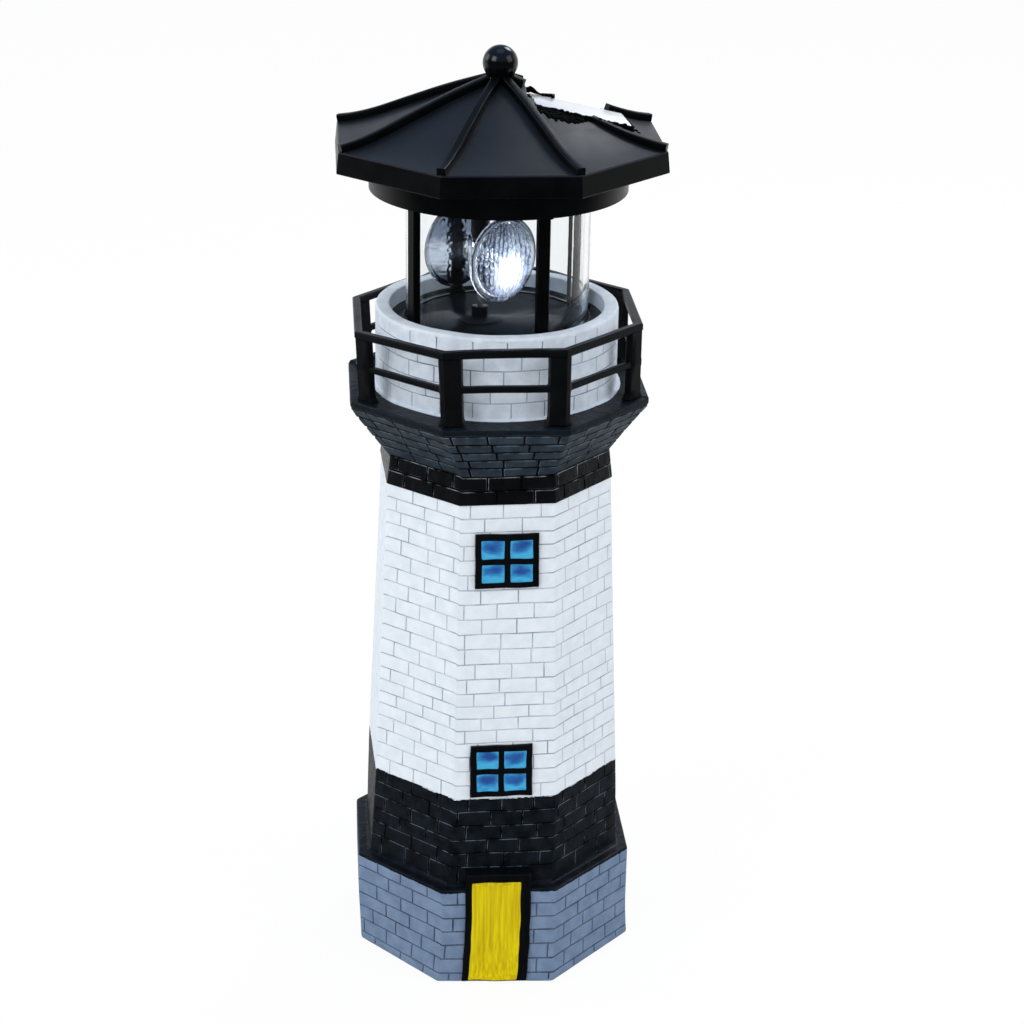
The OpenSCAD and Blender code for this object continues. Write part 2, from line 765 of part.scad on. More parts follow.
// The knob stands at the end of its slot at which the lamp is on
module switch_slider() {
    color("white") translate([switch_xy[0] + switch_travel / 2 - knob_l / 2,
                              switch_xy[1] - knob_w / 2, z_drum - knob_proud])
        cube([knob_l, knob_w, knob_proud + drum_floor + knob_depth - slip]);
}

module led_stem() {
    tip = z_lens + stem_tip;
    outline = [[stem_bore_r, tip], [stem_tip_r, tip], [stem_r, tip + stem_taper], [stem_r, z_floor],
               [stem_flange_r, z_floor], [stem_flange_r, z_floor + stem_flange_t],
               [stem_bore_r, z_floor + stem_flange_t]];
    color("black") translate([axis_x, axis_y, 0]) rotate_extrude() polygon(outline);
}

module led_lamp() {
    tip = z_lens + stem_tip;
    color("white", 0.8) translate([axis_x, axis_y, 0]) union() {
        translate([0, 0, tip - 1]) cylinder(r = led_flange_r, h = 1);
        translate([0, 0, tip - 6]) cylinder(r = led_r, h = 6);
        translate([0, 0, tip - 6]) sphere(r = led_r);
    }
}

module led_leads() {
    top = z_board + board_t / 2;
    edge = board_xy[0] - board_l / 2;
    color("silver") for (s = [-1, 1])
        wire([[axis_x, axis_y + s * 0.8, z_lens + stem_tip], [axis_x, axis_y + s * 0.8, top],
              [edge, axis_y + s * 0.8, top]], thin_lead_r);
}

// ---- drive under the tray ----

module drive_cover() {
    color("black") translate([0, 0, z_cover]) difference() {
        cylinder(r = cover_r, h = cover_h);
        translate([0, 0, cover_wall]) cylinder(r = cover_r - cover_wall, h = cover_h);
        translate([0, 0, -lap]) around(cover_pillar_angles, cover_pillar_at)
            cylinder(r = screw_r + press, h = cover_wall + 2 * lap);
    }
}

module cover_screws() {
    color("silver") translate([0, 0, z_cover]) around(cover_pillar_angles, cover_pillar_at)
        screw(cover_wall + 6.5);
}

module gear_plate() {
    color("white") translate([0, 0, z_motor]) difference() {
        cylinder(r = gear_plate_r, h = gear_plate_t);
        translate([axis_x, axis_y, -lap]) cylinder(r = spindle_r + running, h = gear_plate_t + 2 * lap);
        translate([idler_xy[0], idler_xy[1], -lap])
            cylinder(r = spindle_r + press, h = gear_plate_t + 2 * lap);
        translate([motor_xy[0], motor_xy[1], -lap]) cylinder(r = 2, h = gear_plate_t + 2 * lap);
        translate([0, 0, -lap]) around(plate_pillar_angles, plate_pillar_at)
            cylinder(r = screw_r + press, h = gear_plate_t + 2 * lap);
        for (s = [-1, 1]) translate([motor_xy[0], motor_xy[1] + s * motor_screw_at, -lap]) union() {
            cylinder(r = motor_screw_r + press, h = gear_plate_t + 2 * lap);
            translate([0, 0, lap + gear_plate_t - 0.8]) cylinder(r = 1.5 + press, h = 2);
        }
    }
}

module plate_screws() {
    color("silver") translate([0, 0, z_motor]) around(plate_pillar_angles, plate_pillar_at)
        screw(gear_plate_t + 4, screw_r, 1.9, 1.2);
}

module motor_can() {
    color("silver") translate([motor_xy[0], motor_xy[1], z_motor - motor_h]) difference() {
        union() {
            cylinder(r = motor_r, h = motor_h);
            translate([0, 0, motor_h - lap]) cylinder(r = 1.9, h = lap + 1);
        }
        translate([0, 0, 1.5]) cylinder(r = motor_shaft_r + running, h = motor_h + 2);
        for (s = [-1, 1]) translate([0, s * motor_screw_at, motor_h - 3.2])
            cylinder(r = motor_screw_r + press, h = 3.2 + lap);
    }
}

module motor_screws() {
    color("silver") for (s = [-1, 1])
        translate([motor_xy[0], motor_xy[1] + s * motor_screw_at, z_plate - 0.8]) union() {
            cylinder(r = 1.5, h = 0.8);
            translate([0, 0, 0.8 - gear_plate_t - 3]) cylinder(r = motor_screw_r, h = gear_plate_t + 2.5);
        }
}

module motor_leads() {
    can_side = motor_xy[0] + sqrt(motor_r * motor_r - 4) + 0.25;
    color("red") for (i = [0, 1])
        let (p = motor_lead_xy[i], y = motor_xy[1] + 2 - 4 * i, z = motor_lead_z - 2.5 * i)
            wire([[p[0], p[1], z_board], [p[0], p[1], z], [p[0], y, z], [can_side, y, z]], lead_r);
}

module motor_shaft() {
    color("silver") translate([motor_xy[0], motor_xy[1], z_motor - motor_h + 1.7])
        cylinder(r = motor_shaft_r, h = motor_h - 1.7 + gear_plate_t + 0.5 + gear_w + 1.2);
}

module motor_pinion() {
    color("white") translate([motor_xy[0], motor_xy[1], z_plate + 0.5]) rotate([0, 0, motor_angle + 180])
        gear(pinion_teeth, gear_w + 0.8, motor_shaft_r + press);
}

module idler_pin() {
    color("silver") translate([idler_xy[0], idler_xy[1], z_motor])
        cylinder(r = spindle_r, h = z_bay - z_motor + 1.5);
}

module idler_gear() {
    color("ivory") translate([idler_xy[0], idler_xy[1], z_idler]) union() {
        rotate([0, 0, motor_angle + 180 / wheel_teeth]) gear(wheel_teeth, gear_w, spindle_r + running);
        translate([0, 0, gear_w - 0.2]) rotate([0, 0, idler_angle + 180])
            gear(pinion_teeth, gear_w + 2, spindle_r + running);
    }
}

module output_gear() {
    color("ivory") translate([axis_x, axis_y, z_output]) union() {
        rotate([0, 0, idler_angle + 180 / wheel_teeth]) gear(wheel_teeth, gear_w, spindle_r + press);
        translate([0, 0, -1.6]) tube(hub_r, spindle_r + press, 1.6 + gear_w);
    }
}

// ---- twin lens ----

module lens_spindle() {
    color("silver") translate([axis_x, axis_y, z_motor + 0.3])
        cylinder(r = spindle_r, h = z_lens - sleeve_foot + 1.5 - z_motor - 0.3);
}

// Turns a shape that stands on +Z so that it points along the lens direction
module at_lens(side) {
    translate([axis_x, axis_y, z_lens]) rotate([0, 0, lens_angle + (side > 0 ? 0 : 180)])
        rotate([0, 90, 0]) children();
}

module lens_yoke() {
    color("lightcyan", 0.5) difference() {
        translate([axis_x, axis_y, z_lens]) difference() {
            union() {
                translate([0, 0, -sleeve_foot]) cylinder(r = sleeve_r, h = sleeve_foot + sleeve_top);
                translate([0, 0, -yoke_foot]) cylinder(r = 2.2, h = yoke_foot - sleeve_foot + lap);
            }
            translate([0, 0, -sleeve_foot + 2])
                cylinder(r = sleeve_bore_r, h = sleeve_foot + sleeve_top);
            translate([0, 0, -yoke_foot - lap])
                cylinder(r = spindle_r + press, h = yoke_foot - sleeve_foot + 2.5);
        }
        at_lens(1) translate([0, 0, -2 * sleeve_r]) cylinder(r = 2.6, h = 4 * sleeve_r);
    }
}

// Reflector cup: a bowl whose radius grows as the square root of its depth
module lens_cup(side) {
    steps = 8;
    inner_r = lens_r - cup_wall;
    function bowl(r, t) = cup_neck_r + (r - cup_neck_r) * sqrt(t);
    outer = [for (i = [0:steps]) let (t = pow(i / steps, 2))
        [bowl(lens_r, t), cup_start + (cup_end - cup_start) * t]];
    inner = [for (i = [steps:-1:0]) let (t = pow(i / steps, 2))
        [bowl(inner_r, t) - (1 - t) * neck_wall,
         cup_start + cup_wall + (cup_end - cup_start - cup_wall) * t]];
    difference() {
        at_lens(side) rotate_extrude()
            polygon(concat([[cup_neck_r - neck_wall, cup_start - 2], [cup_neck_r, cup_start - 2]],
                           outer, [[inner_r, cup_end]], inner));
        translate([axis_x, axis_y, z_lens - 2 * sleeve_r])
            cylinder(r = sleeve_r + press, h = 4 * sleeve_r);
    }
}

// Lens: a disc with a shallow dome
module lens_face(side) {
    steps = 5;
    dome = [for (i = [0:steps]) let (a = 90 * i / steps)
        [lens_r * cos(a), cup_end + lens_rim + lens_dome * sin(a)]];
    at_lens(side) rotate_extrude() polygon(concat([[0, cup_end], [lens_r, cup_end]], dome));
}

module lens_cup_a() {
    color("lightcyan", 0.5) lens_cup(1);
}

module lens_cup_b() {
    color("lightcyan", 0.5) lens_cup(-1);
}

module lens_face_a() {
    color("white", 0.6) lens_face(1);
}

module lens_face_b() {
    color("white", 0.6) lens_face(-1);
}

tower_casting();
base_plate();
railing_posts();
top_rail();
mid_rail();
lantern_tray();
clear_tube();
cage_posts();
drum_housing();
roof_cap();
roof_screws();
finial();
solar_panel();
panel_sealant();
panel_leads();
battery_cell();
battery_contacts();
power_leads();
circuit_board();
board_parts();
switch_body();
switch_slider();
led_stem();
led_lamp();
led_leads();
drive_cover();
cover_screws();
gear_plate();
plate_screws();
motor_can();
motor_screws();
motor_leads();
motor_shaft();
motor_pinion();
idler_pin();
idler_gear();
output_gear();
lens_spindle();
lens_yoke();
lens_cup_a();
lens_cup_b();
lens_face_a();
lens_face_b();
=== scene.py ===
"""Looks of a garden lighthouse ornament with a solar lantern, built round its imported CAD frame.

Sizes in the classes are millimetres, in the frame's own axes: +Z up, the door faces -Y, the origin is
the middle of the underside. Meshes are written in metres.
"""

import json
import logging
import math
import random
from dataclasses import dataclass, field
from enum import Enum
from typing import Callable, Iterable

import bmesh
import bpy
from mathutils import Matrix, Vector, noise


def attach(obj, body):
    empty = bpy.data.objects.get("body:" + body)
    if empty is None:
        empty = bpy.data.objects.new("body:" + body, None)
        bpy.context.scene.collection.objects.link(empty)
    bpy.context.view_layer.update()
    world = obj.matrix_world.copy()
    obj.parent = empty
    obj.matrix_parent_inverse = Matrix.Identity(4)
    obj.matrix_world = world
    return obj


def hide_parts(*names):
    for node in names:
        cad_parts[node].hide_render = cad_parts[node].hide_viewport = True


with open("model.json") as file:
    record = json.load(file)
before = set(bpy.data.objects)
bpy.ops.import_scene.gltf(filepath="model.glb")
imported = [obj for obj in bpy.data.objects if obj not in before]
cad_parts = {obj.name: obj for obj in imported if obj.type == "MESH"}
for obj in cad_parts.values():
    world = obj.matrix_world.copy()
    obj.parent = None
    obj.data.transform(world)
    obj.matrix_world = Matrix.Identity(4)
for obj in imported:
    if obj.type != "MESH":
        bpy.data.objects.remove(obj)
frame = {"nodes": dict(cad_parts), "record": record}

LOG = logging.getLogger("lighthouse")
MM = 0.001
SIDES = 8
SIDE_TURN = 45
HALF_TURN = 22.5
FLAT = math.cos(math.radians(HALF_TURN))
SHARP_ANGLE = math.radians(32)
NOISE_SEED = 11

Socket = bpy.types.NodeSocket
Node = bpy.types.Node
Tree = bpy.types.NodeTree
Material = bpy.types.Material
Piece = bpy.types.Object
Pair = tuple[float, float]
Point = tuple[float, float, float]
Inputs = dict[int | str, object]


# ---------------------------------------------------------------- nodes and colours


def linear(hex_colour: str) -> tuple[float, float, float, float]:
    """Turns an sRGB colour to the linear one that a socket takes.

    Args:
        hex_colour: Six hex digits with a leading #.

    Returns:
        Red, green, blue and an alpha of 1.
    """
    parts = [int(hex_colour[i : i + 2], 16) / 255 for i in (1, 3, 5)]
    return (*(c / 12.92 if c <= 0.04045 else ((c + 0.055) / 1.055) ** 2.4 for c in parts), 1.0)


def add(tree: Tree, kind: str, inputs: Inputs | None = None, **settings: object) -> Node:
    """Adds a node with its settings and links.

    Args:
        tree: The tree that takes the node.
        kind: The node's type name.
        inputs: For an input's name or number, a socket to link or a value to set.
        **settings: The node's own properties.

    Returns:
        The new node.
    """
    node = tree.nodes.new(kind)
    for name, value in settings.items():
        setattr(node, name, value)
    for key, value in (inputs or {}).items():
        if isinstance(value, Socket):
            tree.links.new(value, node.inputs[key])
        else:
            node.inputs[key].default_value = value
    return node


def maths(tree: Tree, operation: str, *values: float | Socket) -> Socket:
    """Adds one sum: the Math node's operation on numbers or sockets, in order."""
    return add(tree, "ShaderNodeMath", dict(enumerate(values)), operation=operation).outputs[0]


def ramp(tree: Tree, factor: Socket, stops: list[tuple[float, tuple[float, ...]]], steps: bool = False) -> Socket:
    """Adds a colour ramp.

    Args:
        tree: The shader tree.
        factor: What the ramp reads.
        stops: Position and linear colour of each stop, in order.
        steps: True for flat steps between the stops.

    Returns:
        The ramp's colour socket.
    """
    node = add(tree, "ShaderNodeValToRGB", {0: factor})
    band = node.color_ramp
    band.interpolation = "CONSTANT" if steps else "LINEAR"
    while len(band.elements) < len(stops):
        band.elements.new(1.0)
    for element, (place, colour) in zip(band.elements, stops):
        element.position = place
        element.color = colour
    return node.outputs[0]


def blend(tree: Tree, factor: float | Socket, first: object, second: object) -> Socket:
    """Mixes two colours by a factor from 0 to 1."""
    return add(tree, "ShaderNodeMix", {0: factor, 6: first, 7: second}, data_type="RGBA").outputs[2]


def level_of(tree: Tree, factor: Socket, first: float | Socket, second: float | Socket) -> Socket:
    """Mixes two values by a factor from 0 to 1."""
    return add(tree, "ShaderNodeMix", {0: factor, 2: first, 3: second}, data_type="FLOAT").outputs[0]


def either(tree: Tree, factor: Socket, first: Socket, second: Socket) -> Socket:
    """Mixes two shaders by a factor from 0 to 1."""
    return add(tree, "ShaderNodeMixShader", {0: factor, 1: first, 2: second}).outputs[0]


def remap(tree: Tree, value: Socket, source: Pair, target: Pair = (0.0, 1.0)) -> Socket:
    """Maps a value from the source range to the target range and clamps it."""
    ends = {1: source[0], 2: source[1], 3: target[0], 4: target[1]}
    return add(tree, "ShaderNodeMapRange", {0: value, **ends}).outputs[0]


def axes(tree: Tree, vector: Socket) -> bpy.types.NodeOutputs:
    """Splits a vector to its three axes."""
    return add(tree, "ShaderNodeSeparateXYZ", {0: vector}).outputs


def stretched(tree: Tree, place: Socket, scale: Point) -> Socket:
    """Scales a coordinate along its axes, so that a pattern on it runs long or lies flat."""
    return add(tree, "ShaderNodeMapping", {"Vector": place, "Scale": scale}).outputs[0]


def painted(tree: Tree, name: str) -> Socket:
    """Reads one of the mesh's own numbers in a shader tree."""
    return add(tree, "ShaderNodeAttribute", attribute_name=name).outputs["Fac"]


def carried(tree: Tree, name: str) -> Socket:
    """Reads one of the mesh's own numbers in a geometry tree."""
    return add(tree, "GeometryNodeInputNamedAttribute", {"Name": name}, data_type="FLOAT").outputs[0]


def principled(tree: Tree, inputs: Inputs) -> Socket:
    """Adds a Principled shader."""
    return add(tree, "ShaderNodeBsdfPrincipled", inputs).outputs[0]


@dataclass(frozen=True)
class Surface:
    """What every finish starts from: a named material, patterns of real sizes, one shader.

    Attributes:
        name: The real material's name.
    """

    name: str

    def build(self) -> Material:
        """Builds the material.

        Returns:
            The material, whose patterns all read the Object coordinate or the mesh's own numbers.
        """
        material = bpy.data.materials.new(self.name)
        material.use_nodes = True
        tree = material.node_tree
        tree.nodes.clear()
        place = add(tree, "ShaderNodeTexCoord").outputs["Object"]
        add(tree, "ShaderNodeOutputMaterial", {"Surface": self.shader(tree, place)})
        return material

    def shader(self, tree: Tree, place: Socket) -> Socket:
        """Adds the finish's own nodes and gives their shader."""
        raise NotImplementedError

    def grit(self, tree: Tree, place: Socket, size_mm: float, detail: float = 2.0) -> Socket:
        """Adds noise of a real size.

        Args:
            tree: The shader tree.
            place: The coordinate it reads.
            size_mm: Width of one patch in millimetres.
            detail: Finer layers on top.

        Returns:
            The noise's value, from 0 to 1.
        """
        settings = {"Vector": place, "Scale": 1 / (size_mm * MM), "Detail": detail}
        return add(tree, "ShaderNodeTexNoise", settings).outputs[0]

    def cells(self, tree: Tree, place: Socket, size_mm: float) -> Socket:
        """Adds cells of a real size, each with its own value from 0 to 1."""
        inputs = {"Vector": place, "Scale": 1 / (size_mm * MM)}
        colour = add(tree, "ShaderNodeTexVoronoi", inputs).outputs["Color"]
        return add(tree, "ShaderNodeSeparateColor", {0: colour}).outputs[0]

    def bump(self, tree: Tree, height: Socket, depth_mm: float, below: Socket | None = None) -> Socket:
        """Adds a bump of a real depth.

        Args:
            tree: The shader tree.
            height: The height pattern, from 0 to 1.
            depth_mm: Its full depth in millimetres.
            below: A normal that this one lies on.

        Returns:
            The normal's socket.
        """
        inputs: Inputs = {"Height": height, "Distance": depth_mm * MM, "Strength": 1.0}
        if below is not None:
            inputs["Normal"] = below
        return add(tree, "ShaderNodeBump", inputs).outputs[0]


@dataclass(frozen=True)
class Moulded(Surface):
    """A moulded or cast material with faint mottling and the mould's grain.

    Attributes:
        colour: Main colour.
        shade: Second colour of the mottling.
        roughness: Middle roughness.
        specular: Strength of the reflection that meets it head on.
        grain_mm: Width of the grain.
        grain_depth_mm: Depth of the grain.
        mottle_mm: Width of the mottled patches.
        spread: How far roughness strays either way.
        metallic: 1 for plated metal.
    """

    colour: str
    shade: str
    roughness: float
    specular: float
    grain_mm: float
    grain_depth_mm: float
    mottle_mm: float = 9.0
    spread: float = 0.05
    metallic: float = 0.0

    def shader(self, tree: Tree, place: Socket) -> Socket:
        """Mottles colour and roughness over the grain."""
        patch = self.grit(tree, place, self.mottle_mm, 3.0)
        grain = self.grit(tree, place, self.grain_mm)
        mottle = remap(tree, patch, (0.35, 0.65))
        stray = (self.roughness - self.spread, self.roughness + self.spread)
        return principled(tree, {
            "Base Color": blend(tree, mottle, linear(self.colour), linear(self.shade)),
            "Roughness": remap(tree, patch, (0.3, 0.7), stray),
            "Normal": self.bump(tree, grain, self.grain_depth_mm),
            "Metallic": self.metallic,
            "Specular IOR Level": self.specular,
        })


@dataclass(frozen=True)
class PaintZone:
    """One painted zone of the casting, from its lower edge upwards along the profile.

    Attributes:
        start: Place of its lower edge along the profile, in millimetres.
        face: Colour of the brick faces.
        tint: Second colour of the faces, in patches.
        joint: Colour in the joints.
        wear_and_highlight: Colour on a brick's edge: paint rubbed off, and a painted highlight on the edges that face
            the light.
        wear_and_highlight_share: How much of the edges takes that colour.
        roughness: Of the paint.
        run: Least share of the joint's colour that ran in.
    """

    start: float
    face: str
    tint: str
    joint: str
    wear_and_highlight: str
    wear_and_highlight_share: float
    roughness: float
    run: float


@dataclass(frozen=True)
class BrushedPaintOnResin(Surface):
    """Matt acrylic paint, brushed by hand on cast polyester resin. The eye sees flat colour zones that
    meet in slightly ragged lines, joints where thinned paint has run in, and lighter brick edges, partly rubbed paint
    and partly a painted highlight.

    Attributes:
        zones: The painted zones in order along the profile.
    """

    zones: tuple[PaintZone, ...]

    def shader(self, tree: Tree, place: Socket) -> Socket:
        """Picks each zone's look by the place along the profile, and lightens the brick edges with rubbed paint and a
        painted highlight.
        """
        stray = [
            maths(tree, "MULTIPLY_ADD", self.grit(tree, place, size, detail), reach, -reach / 2)
            for size, detail, reach in ((9.0, 1.0, 0.9), (1.4, 2.0, 0.7))
        ]
        along = maths(tree, "ADD", painted(tree, "profile"), maths(tree, "ADD", *stray))
        count = len(self.zones)
        number = maths(tree, "GREATER_THAN", along, self.zones[1].start)
        for zone in self.zones[2:]:
            number = maths(tree, "ADD", number, maths(tree, "GREATER_THAN", along, zone.start))
        number = maths(tree, "MULTIPLY_ADD", number, 1 / count, 0.5 / count)

        def by_zone(part: str) -> Socket:
            """A ramp that gives each zone its own colour, or its own number as a grey."""
            looks = [getattr(zone, part) for zone in self.zones]
            shown = [linear(v) if isinstance(v, str) else (v, v, v, 1) for v in looks]
            return ramp(tree, number, [(i / count, c) for i, c in enumerate(shown)], steps=True)

        def patches(size_mm: float, detail: float, source: Pair) -> Socket:
            """Patches with soft edges."""
            return remap(tree, self.grit(tree, place, size_mm, detail), source)

        face = blend(tree, patches(5.0, 5.0, (0.36, 0.64)), by_zone("face"), by_zone("tint"))
        run_in = maths(tree, "MAXIMUM", patches(11.0, 3.0, (0.35, 0.62)), by_zone("run"))
        joint = maths(tree, "MULTIPLY", remap(tree, painted(tree, "joint"), (0.25, 0.9)), run_in)
        # rubbed paint and painted highlight: in patches, the brick edges take the zone's lighter edge colour, most on
        # the edges marked as facing the light
        rubbed_and_lit = patches(5.0, 4.0, (0.44, 0.6))
        rubbed_and_lit = maths(tree, "MULTIPLY", rubbed_and_lit, remap(tree, painted(tree, "edge"), (0.3, 0.85)))
        rubbed_and_lit = maths(tree, "MULTIPLY", rubbed_and_lit, by_zone("wear_and_highlight_share"))
        colour = blend(tree, joint, face, by_zone("joint"))
        # brush marks and the casting's pits, coarser than real ones so that they show
        lumps = self.bump(tree, self.grit(tree, place, 4.5, 1.0), 0.35)
        return principled(tree, {
            "Base Color": blend(tree, rubbed_and_lit, colour, by_zone("wear_and_highlight")),
            "Roughness": by_zone("roughness"),
            "Normal": self.bump(tree, self.grit(tree, place, 1.0, 3.0), 0.16, lumps),
            "Specular IOR Level": 0.14,
        })


@dataclass(frozen=True)
class BrushedEnamel(Surface):
    """Enamel put on with a small brush: streaks of thick and thin colour along the stroke.

    Attributes:
        thick: Colour where the paint is thick.
        thin: Colour where it is thin.
        streak_mm: Width of a streak; its length is many times that, up and down.
        roughness: Of the enamel.
    """

    thick: str
    thin: str
    streak_mm: float
    roughness: float

    def shader(self, tree: Tree, place: Socket) -> Socket:
        """Streaks colour and height along the stroke."""
        streak = self.grit(tree, stretched(tree, place, (1.0, 1.0, 0.035)), self.streak_mm * 2, 4.0)
        thinned = remap(tree, streak, (0.35, 0.68))
        return principled(tree, {
            "Base Color": blend(tree, thinned, linear(self.thick), linear(self.thin)),
            "Roughness": self.roughness,
            "Normal": self.bump(tree, streak, 0.05),
            "Specular IOR Level": 0.12,
        })


@dataclass(frozen=True)
class ShadedPane(Surface):
    """Window panes painted in two blues, deep in the middle and light at the rim, under a gloss varnish."""

    def shader(self, tree: Tree, place: Socket) -> Socket:
        """Smears the blues sideways between the pane's rim and its middle."""
        smear = self.grit(tree, stretched(tree, place, (0.45, 1.0, 1.0)), 2.6, 3.0)
        depth = maths(tree, "ADD", painted(tree, "middle"), maths(tree, "MULTIPLY_ADD", smear, 1.7, -0.9))
        blues = ((0.02, "#45aedb"), (0.35, "#2788c4"), (0.7, "#1f62ab"), (1.0, "#1b4c93"))
        return principled(tree, {
            "Base Color": ramp(tree, depth, [(share, linear(blue)) for share, blue in blues]),
            "Roughness": 0.35,
            "Normal": self.bump(tree, smear, 0.08),
            "Specular IOR Level": 0.3,
        })


@dataclass(frozen=True)
class Glow:
    """Lamplight that a clear piece sends out.

    Attributes:
        strength: At its middle.
        at: Its middle, in millimetres.
        fade_mm: Radius at which it has faded.
    """

    strength: float
    at: Point
    fade_mm: float


@dataclass(frozen=True)
class ClearMoulding(Surface):
    """Clear polystyrene: bright edges, faint flow marks, and light from lamps passes.

    Attributes:
        tint: Colour that the plastic keeps.
        ior: Refraction.
        roughness: Of the polished surface.
        glow: Lamplight that it sends out, if any.
        painted_refraction_bands: Height in millimetres and colour, upwards: painted refraction, the view of the dark
            tray, the lit room and the dark drum that a bowl would show, put in its colour.
        groove: Colour of a painted shade in the grooves of a fluted face, for the dark room that they would refract;
            empty for none.
    """

    tint: str
    ior: float
    roughness: float
    glow: Glow | None = None
    painted_refraction_bands: tuple[tuple[float, str], ...] = ()
    groove: str = ""

    def painted_refraction(self, tree: Tree, place: Socket) -> Socket:
        """Paints in the refracted view by height, with level streaks of painted reflection."""
        low, high = self.painted_refraction_bands[0][0], self.painted_refraction_bands[-1][0]
        streak = self.grit(tree, stretched(tree, place, (1.0, 1.0, 5.0)), 6.0, 4.0)
        level = remap(tree, axes(tree, place)[2], (low * MM, high * MM))
        level = maths(tree, "ADD", level, maths(tree, "MULTIPLY_ADD", streak, 0.36, -0.18))
        return ramp(tree, level, [((h - low) / (high - low), linear(c)) for h, c in self.painted_refraction_bands])

    def lit(self, tree: Tree, place: Socket, glow: Glow) -> Inputs:
        """Gives the emission: a white middle, and sparks from the facets round it."""
        centre = add(tree, "ShaderNodeCombineXYZ", {i: v * MM for i, v in enumerate(glow.at)}).outputs[0]
        far = add(tree, "ShaderNodeVectorMath", {0: place, 1: centre}, operation="DISTANCE").outputs["Value"]
        near = remap(tree, far, (glow.fade_mm * MM, glow.fade_mm * 0.4 * MM))
        halo = remap(tree, far, (glow.fade_mm * 1.6 * MM, glow.fade_mm * 0.8 * MM))
        spark = remap(tree, self.cells(tree, place, 1.6), (0.45, 1.0), (0.0, 0.5))
        bright = maths(tree, "ADD", near, maths(tree, "MULTIPLY", spark, halo))
        return {
            "Emission Color": blend(tree, near, linear("#9fb4dc"), linear("#ffffff")),
            "Emission Strength": maths(tree, "MULTIPLY", bright, glow.strength),
        }

    def shader(self, tree: Tree, place: Socket) -> Socket:
        """Refracts the eye's rays, and lets those of the lamps straight through."""
        flow = self.grit(tree, place, 7.0, 2.0)
        colour = self.painted_refraction(tree, place) if self.painted_refraction_bands else linear(self.tint)
        # painted shade: the flutes' grooves take a dark navy for the dark room that they would refract
        if self.groove:
            uneven = maths(tree, "MULTIPLY_ADD", self.grit(tree, place, 3.0, 2.0), 0.8, -0.4)
            deep = remap(tree, maths(tree, "ADD", painted(tree, "flute"), uneven), (0.34, 0.04))
            colour = blend(tree, deep, colour, linear(self.groove))
        solid = principled(tree, {
            "Base Color": colour,
            "Roughness": remap(tree, flow, (0.3, 0.7), (self.roughness, self.roughness + 0.03)),
            "Normal": self.bump(tree, flow, 0.02),
            "Transmission Weight": 1.0,
            "IOR": self.ior,
            **(self.lit(tree, place, self.glow) if self.glow else {}),
        })
        clear = add(tree, "ShaderNodeBsdfTransparent", {0: linear(self.tint)}).outputs[0]
        return either(tree, add(tree, "ShaderNodeLightPath").outputs["Is Shadow Ray"], solid, clear)


@dataclass(frozen=True)
class SolarLaminate(Surface):
    """Silicon cells under clear epoxy: deep blue, fine silver lines, and a mirror-like skin that goes
    white where it catches the sky at a low angle.

    Attributes:
        origin: Where its lines are counted from, in millimetres.
    """

    origin: Point

    def shader(self, tree: Tree, place: Socket) -> Socket:
        """Rules the silver lines on the cells and lays the skin over them."""
        start = tuple(v * MM for v in self.origin)
        local = add(tree, "ShaderNodeVectorMath", {0: place, 1: start}, operation="SUBTRACT").outputs[0]
        along = axes(tree, local)

        def lines(axis: Socket, pitch_mm: float, width_mm: float) -> Socket:
            """Thin lines across an axis."""
            wave = maths(tree, "MULTIPLY", axis, 1 / (pitch_mm * MM))
            off = maths(tree, "ABSOLUTE", maths(tree, "SUBTRACT", maths(tree, "FRACT", wave), 0.5))
            return maths(tree, "LESS_THAN", off, width_mm / pitch_mm / 2)

        silver = maths(tree, "MAXIMUM", lines(along[1], 2.3, 0.16), lines(along[0], 8.8, 0.7))
        cell = blend(tree, self.cells(tree, place, 3.0), linear("#121a38"), linear("#1d2c5c"))
        solid = principled(tree, {
            "Base Color": blend(tree, silver, cell, linear("#aeb6c0")),
            "Roughness": 0.12,
            "Normal": self.bump(tree, self.grit(tree, place, 6.0, 1.0), 0.03),
            "Coat Weight": 1.0,
            "Coat Roughness": 0.03,
            "Coat IOR": 1.6,
        })
        low = add(tree, "ShaderNodeLayerWeight", {0: 0.5}).outputs["Facing"]
        skin = add(tree, "ShaderNodeBsdfGlossy", {"Color": linear("#f6f8fa"), "Roughness": 0.32}).outputs[0]
        return either(tree, remap(tree, low, (0.42, 0.66), (0.0, 0.92)), solid, skin)


@dataclass(frozen=True)
class PaperSweep(Surface):
    """White paper under the object: white to the camera, dark in front where polished parts mirror it.

    Attributes:
        dark_front: Brightness that polished parts see in front.
        share: How much of it glows; the rest takes the object's shadow.
    """

    dark_front: float
    share: float

    def shader(self, tree: Tree, place: Socket) -> Socket:
        """Mixes plain paper with its glow."""
        path = add(tree, "ShaderNodeLightPath").outputs
        glossy = maths(tree, "MAXIMUM", path["Is Glossy Ray"], path["Is Transmission Ray"])
        front = remap(tree, axes(tree, place)[1], (-0.1, 0.35), (self.dark_front, 1.0))
        strength = level_of(tree, glossy, 1.0, front)
        glow = add(tree, "ShaderNodeEmission", {0: linear("#ffffff"), 1: strength}).outputs[0]
        seen = maths(tree, "MAXIMUM", path["Is Camera Ray"], glossy)
        paper = add(tree, "ShaderNodeBsdfDiffuse", {0: linear("#f7f8f9")}).outputs[0]
        return either(tree, maths(tree, "MULTIPLY", seen, self.share), paper, glow)


# ---------------------------------------------------------------- meshes


def between(first: float, last: float, share: float) -> float:
    """Gives the value at a share of the way from one value to another."""
    return first + (last - first) * share


def linked(name: str, data: bpy.types.ID) -> Piece:
    """Makes an object of a mesh, a lamp or a camera and links it to the scene."""
    made = bpy.data.objects.new(name, data)
    bpy.context.scene.collection.objects.link(made)
    return made


